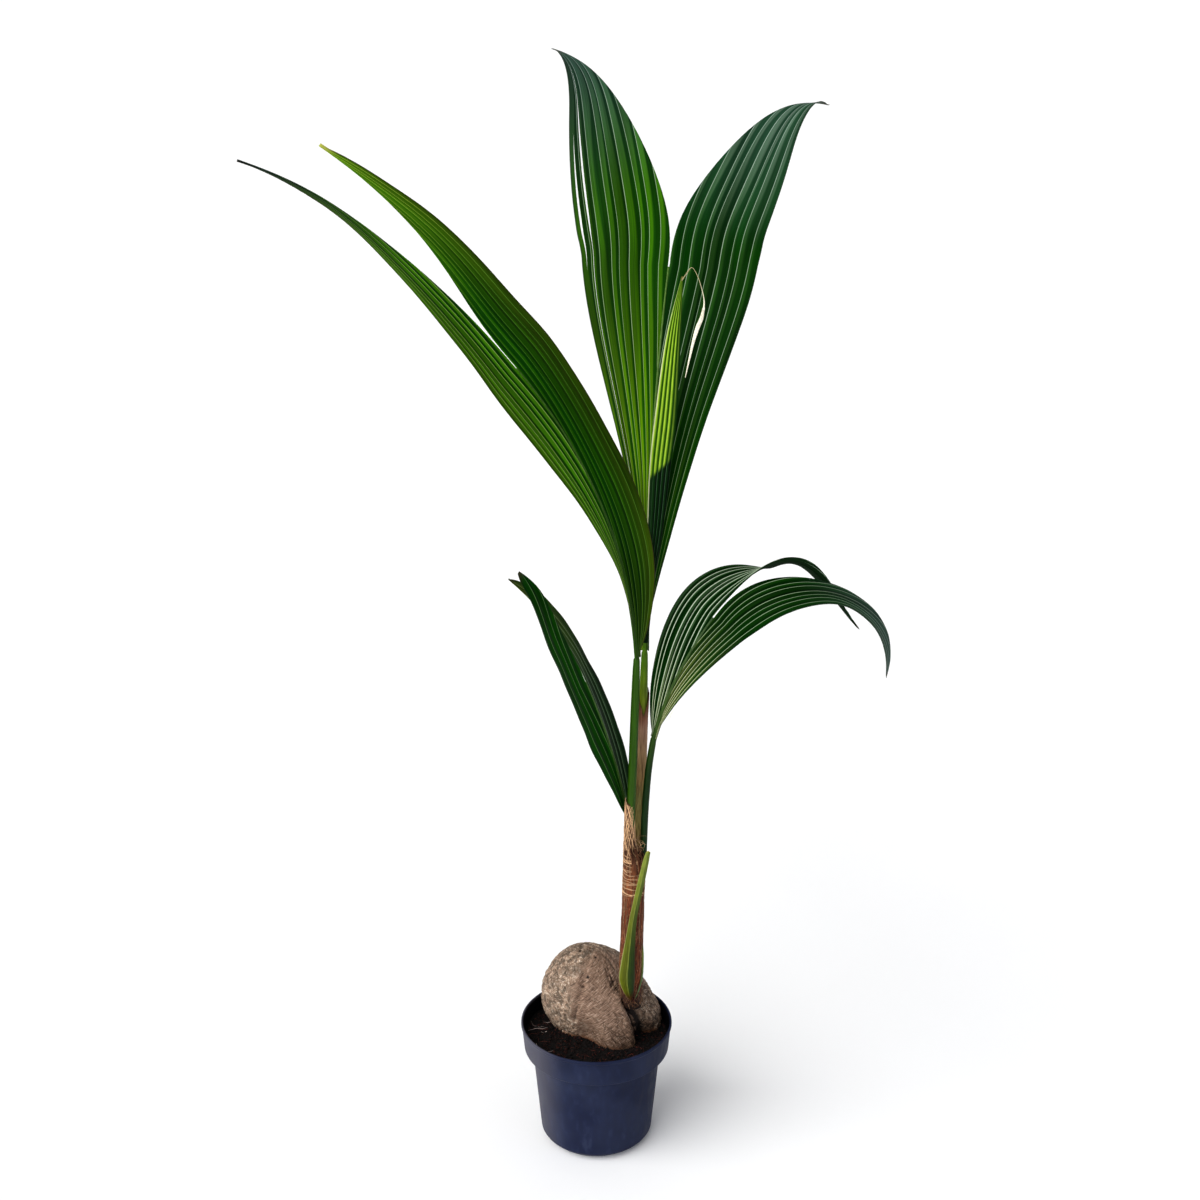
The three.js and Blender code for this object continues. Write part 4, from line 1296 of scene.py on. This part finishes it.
def bladeMaterial(name, look):
    # Living palm leaf: a waxy cuticle over deep green, half glossy, with a pale vein on every
    # fold, and painted light on one facet of each pleat and painted shade on the other.
    material, add, shader = newMaterial(name, Roughness=0.5, IOR=1.45, Specular_IOR_Level=0.035)
    fold, along, across, fromOuter = (add("Attribute", attribute_name=key).outputs["Fac"]
                                      for key in ("fold", "along", "across", "fromOuter"))
    place = add("CombineXYZ", fold, along)
    # veinlets about 0.7 mm apart run the way of the folds, drawn at 1 mm so that they show
    veinlets = pattern(add, place, (12, 5, 1), 4.0)
    drift = pattern(add, place, (0.7, 4, 1), 2.0)
    # each fold has a depth of green of its own, which drifts along it
    ownPlace = add("CombineXYZ", add("Math", fold, operation="FLOOR"), along)
    ownTone = pattern(add, ownPlace, (5.37, 2.6, 1), 1.0)

    part = add("Math", fold, operation="FRACT")
    if look["lit"] < 0:
        part = add("Math", 1.0, part, operation="SUBTRACT")
    onwards = add("MapRange", part, 0, 1, 1, 0, interpolation_type="LINEAR")
    fromVein = add("Math", part, onwards, operation="MINIMUM")
    edge = add("Math", part, add("MapRange", ownTone, 0.3, 0.7, -0.22, 0.22), operation="ADD")
    towardsMiddle = add("MapRange", along, 0.05, look["footTo"])
    towardsEnd = add("MapRange", along, look["endFrom"], 1.0)
    vein, bright, dark = (add("Mix", towardsEnd, add("Mix", towardsMiddle, foot, middle), end)
                          for foot, middle, end in zip(look["foot"], look["middle"], look["end"]))
    lit, half = abs(look["lit"]), look["veinWidth"] / 2
    colour = overlaid(add, bright, dark, edge, lit - 0.1, lit + 0.1)
    colour = overlaid(add, colour, look["outer"], across, 0.35, 1.0, look["outerShare"])
    for tone, low, high in ((drift, 0.82, 1.15), (ownTone, 0.66, 1.3), (veinlets, 0.8, 1.2)):
        colour = shaded(add, colour, tone, low, high)
    colour = overlaid(add, colour, vein, fromVein, half * 1.5, half * 0.5, 0.85)
    colour = overlaid(add, colour, look["rim"], fromOuter, 0.9, 0.4, 0.85)
    colour = overlaid(add, colour, look.get("tip", "#3a2f26"), along, 0.965, 1.0, 0.8)
    finish(add, shader, colour, veinlets, 0.3, 0.0005, add("MapRange", veinlets, 0.3, 0.7, 0.42, 0.56))
    return material


stalkLooks = {
    # colours from the lowest point up, each with its height in mm
    "upright": ((385, "#5d4c28"), (470, "#665a2c"), (575, "#727c26"), (592, "#6a7a1c"),
                (640, "#4c700c"), (700, "#335a0a"), (1000, "#4c6a2c")),
    "sweeping": ((440, "#2c4a08"), (520, "#2a4c04"), (656, "#2a4c04"), (760, "#284c06"), (1000, "#3a5a1c")),
    "short": ((385, "#31520f"), (443, "#31520f"), (620, "#4c6c34")),
    "arching": ((395, "#0c2a08"), (508, "#122f0a"), (552, "#2a4410"), (600, "#3c5424"), (720, "#3a5030")),
}

sleeveBuild = {
    # the torn sheath round the upright leaf's stalk: its heights, and the notch in its front
    "from": 392,
    "top": 608,
    "notch": 568,
    "facing": -1.45,  # radians, the way that the notch faces
    "spare": 0.9,  # mm, how far it stands off the stalk
    "thickness": 0.5,
    "colours": ((392, "#7c5636"), (440, "#8f8450"), (472, "#8f8654"), (493, "#9a7e54"), (525, "#a08260"),
                (557, "#957460"), (572, "#7c5640"), (608, "#4a2e1c")),
}


def stalkMaterial(name, heights, roughness=0.42, contrast=0.25):
    # Living leaf stalk: smooth and half glossy, finely streaked along its length.
    material, add, shader = newMaterial(name, Roughness=roughness, IOR=1.45, Specular_IOR_Level=0.22)
    place = add("NewGeometry").outputs["Position"]
    streaks = pattern(add, place, (700, 700, 14), 4.0)  # streaks about 1.5 mm wide
    colour = shaded(add, colourByHeight(add, place, heights), streaks, 1 - contrast, 1 + contrast)
    finish(add, shader, colour, streaks, 0.4, 0.0005)
    return material


def stalkLine(leaf, steps):
    places = np.array([*leaf["stalk"], leaf["foot"]], float)
    share = np.linspace(0, 1, steps)
    radii = leaf["stalkRadius"] + 0.3 + (bladeBuild["ribAtFoot"] - leaf["stalkRadius"]) * share ** 6
    return alongValues(places, share), radii


def makeStalk(name, leaf):
    rows = growLobe(leaf, leaf["left"], -1)
    onRib = rows["run"] <= leaf["rib"]["length"]
    below, belowRadii = stalkLine(leaf, 60)
    path = np.concatenate([below[:-1], rows["edge"][onRib]])
    radii = np.concatenate([belowRadii[:-1], ribRadius(leaf, rows["run"][onRib]) * 0.85])
    material = stalkMaterial(f"palm stalk {name}", stalkLooks[name])
    piece = makePiece(f"leaf_{name}_stalk", *tube(path, radii, 24), material)
    faceOutwards(piece)
    addPlant(piece, "leaf_stalk", f"leaf_{name}_rib")


def makeSleeve(build, leaf):
    # dried sheath round the stalk, open at the top in a ragged notch
    line, radii = stalkLine(leaf, 200)
    share = np.linspace(0, 1, 150)[:, None]
    bearings = np.arange(96) * fullTurn / 96
    around = np.column_stack([np.cos(bearings), np.sin(bearings), np.zeros(96)])
    jag = reliefAt(around, 4.0, 2.0, 5)
    fromNotch = np.abs(np.sin((bearings - build["facing"]) / 2))
    top = build["notch"] + (build["top"] - build["notch"]) * fromNotch ** 0.55 + 5 * jag
    height = build["from"] + (top - build["from"]) * share
    upwards = height[..., None] * np.array([0, 0, 1])
    relief = reliefAt((around * 4 + upwards * 0.05).reshape(-1, 3), 1.0, 3.0, 3).reshape(height.shape)
    x, y, radius = (np.interp(height, line[:, 2], values) for values in (line[:, 0], line[:, 1], radii))
    radius = radius + build["spare"] + 0.9 * smoothStep(0.85, 1.0, share) + 0.3 * relief
    rings = np.stack([x, y, height], -1) + around * radius[..., None]
    points, faces = skin(rings, capped=False)
    material = stalkMaterial("dried stalk sheath", build["colours"], 0.65, 0.42)
    sleeve = makePiece("leaf_upright_sleeve", points, faces, material)
    thicken(sleeve, build["thickness"])
    addPlant(sleeve, "leaf_stalk")


def makeLeaves():
    for number, (name, leaf) in enumerate(leaves.items()):
        makeBlade(name, leaf, "left", 10 + number)
        makeBlade(name, leaf, "right", 20 + number)
        makeStalk(name, leaf)
    makeSleeve(sleeveBuild, leaves["upright"])
    print("leaves: done")


# Dry threads that tear off a leaf's margin as it opens: places in mm, radius, and flatness.
threads = {
    "spear_thread": {"path": ((93, -4, 1089), (97, -8, 1096), (103, -12, 1104), (109, -12, 1096),
                              (114, -12, 1082), (117, -11, 1069), (117, -8, 1058)),
                     "radii": (0.7, 0.6, 0.55, 0.55, 0.6, 0.9, 1.4), "flat": 0.5},
    "spear_paper": {"path": ((117, -8, 1060), (115, -4, 1048), (111, 2, 1036), (107, 6, 1020),
                             (103, 8, 1000), (99, 8, 980)),
                    "radii": (1.3, 2.1, 2.3, 1.7, 1.0, 0.4), "flat": 0.25},
    "arching_wisp": {"path": ((97, -24, 604), (92, -26, 597), (88, -27, 592), (84, -25, 586)),
                     "radii": (0.15, 0.3, 0.3, 0.15), "flat": 1.0},
    "arching_wisp_low": {"path": ((90, -24, 596), (87, -27, 589), (85, -28, 585), (80, -24, 580)),
                         "radii": (0.12, 0.25, 0.25, 0.15), "flat": 1.0},
}


def makeThreads(build):
    material = strawMaterial("dry leaf thread", "#a89c78", "#e9e4d2")
    sides = 10
    place = np.linspace(0, 1, 40)
    for name, thread in build.items():
        line, radii = (alongValues(thread[key], place) for key in ("path", "radii"))
        tone = smoothStep(0.5, 1.0, place) if name == "spear_thread" else 0.6 + 0.4 * np.sin(math.pi * place)
        shape = tube(line, radii, sides, thread["flat"])
        addPlant(makePiece(name, *shape, material, {"tone": np.repeat(tone, sides)}), "young_leaf")
    print("threads: done")


stageLook = {
    "floorRadius": 900.0,
    "floorColours": ("#fbfbfb", "#fafafa"),
    "sun": {"from": (-0.62, -0.52, 0.62), "strength": 3.1, "angle": 70, "colour": "#ffffff"},
    "fill": {"place": (2.6, -1.6, 1.4), "size": 1.8, "power": 6, "colour": "#b9caff"},
    # the studio's walls are white near the floor and dimmer overhead
    "wallColour": "#ffffff",
    "wallStrength": 0.7,
    "roofStrength": 0.4,
}


def makeStage(look):
    bpy.ops.mesh.primitive_circle_add(vertices=96, radius=look["floorRadius"], fill_type="NGON")
    floor = bpy.context.object
    floor.name = "studio_floor"
    material, add, shader = newMaterial("seamless paper", Roughness=0.9)
    place = add("TexCoord").outputs["Object"]
    grain = pattern(add, place, (3, 3, 3), 2.0)
    feed(shader.inputs["Base Color"], add("Mix", grain, *look["floorColours"]))
    floor.data.materials.append(material)

    world = bpy.data.worlds.new("studio")
    world.use_nodes = True
    add = partial(addNode, world.node_tree)
    way = add("TexCoord").outputs["Generated"]
    height = add("SeparateXYZ", way).outputs["Z"]
    strength = add("MapRange", height, 0.06, 0.25, look["wallStrength"], look["roofStrength"])
    background = world.node_tree.nodes["Background"].inputs
    feed(background["Strength"], strength)
    feed(background["Color"], look["wallColour"])
    bpy.context.scene.world = world

    sun = bpy.data.lights.new("key", "SUN")
    sun.energy = look["sun"]["strength"]
    sun.angle = math.radians(look["sun"]["angle"])
    sun.color = linear(look["sun"]["colour"])[:3]
    fill = bpy.data.lights.new("fill", "AREA")
    fill.shape = "DISK"
    fill.size = look["fill"]["size"]
    fill.energy = look["fill"]["power"]
    fill.color = linear(look["fill"]["colour"])[:3]
    middle = Vector((0, 0, 0.6))
    for data, place in ((sun, Vector(look["sun"]["from"]) * 5), (fill, Vector(look["fill"]["place"]))):
        lamp = bpy.data.objects.new(data.name, data)
        lamp.location = place
        lamp.rotation_euler = (middle - place).to_track_quat("-Z", "Y").to_euler()
        bpy.context.collection.objects.link(lamp)
    bpy.context.scene.view_settings.view_transform = "Standard"
    bpy.context.scene.view_settings.look = "Medium High Contrast"
    print("studio: done")


makeCamera(cameraLook)
makePot(potBuild)
makeSoil(soilBuild)
makeNut(nutBuild)
makeStem(stemBuild)
makeScaleLeaf(scaleLeafBuild)
makeSpear(spearBuild)
makeLeaves()
makeThreads(threads)
makeStage(stageLook)
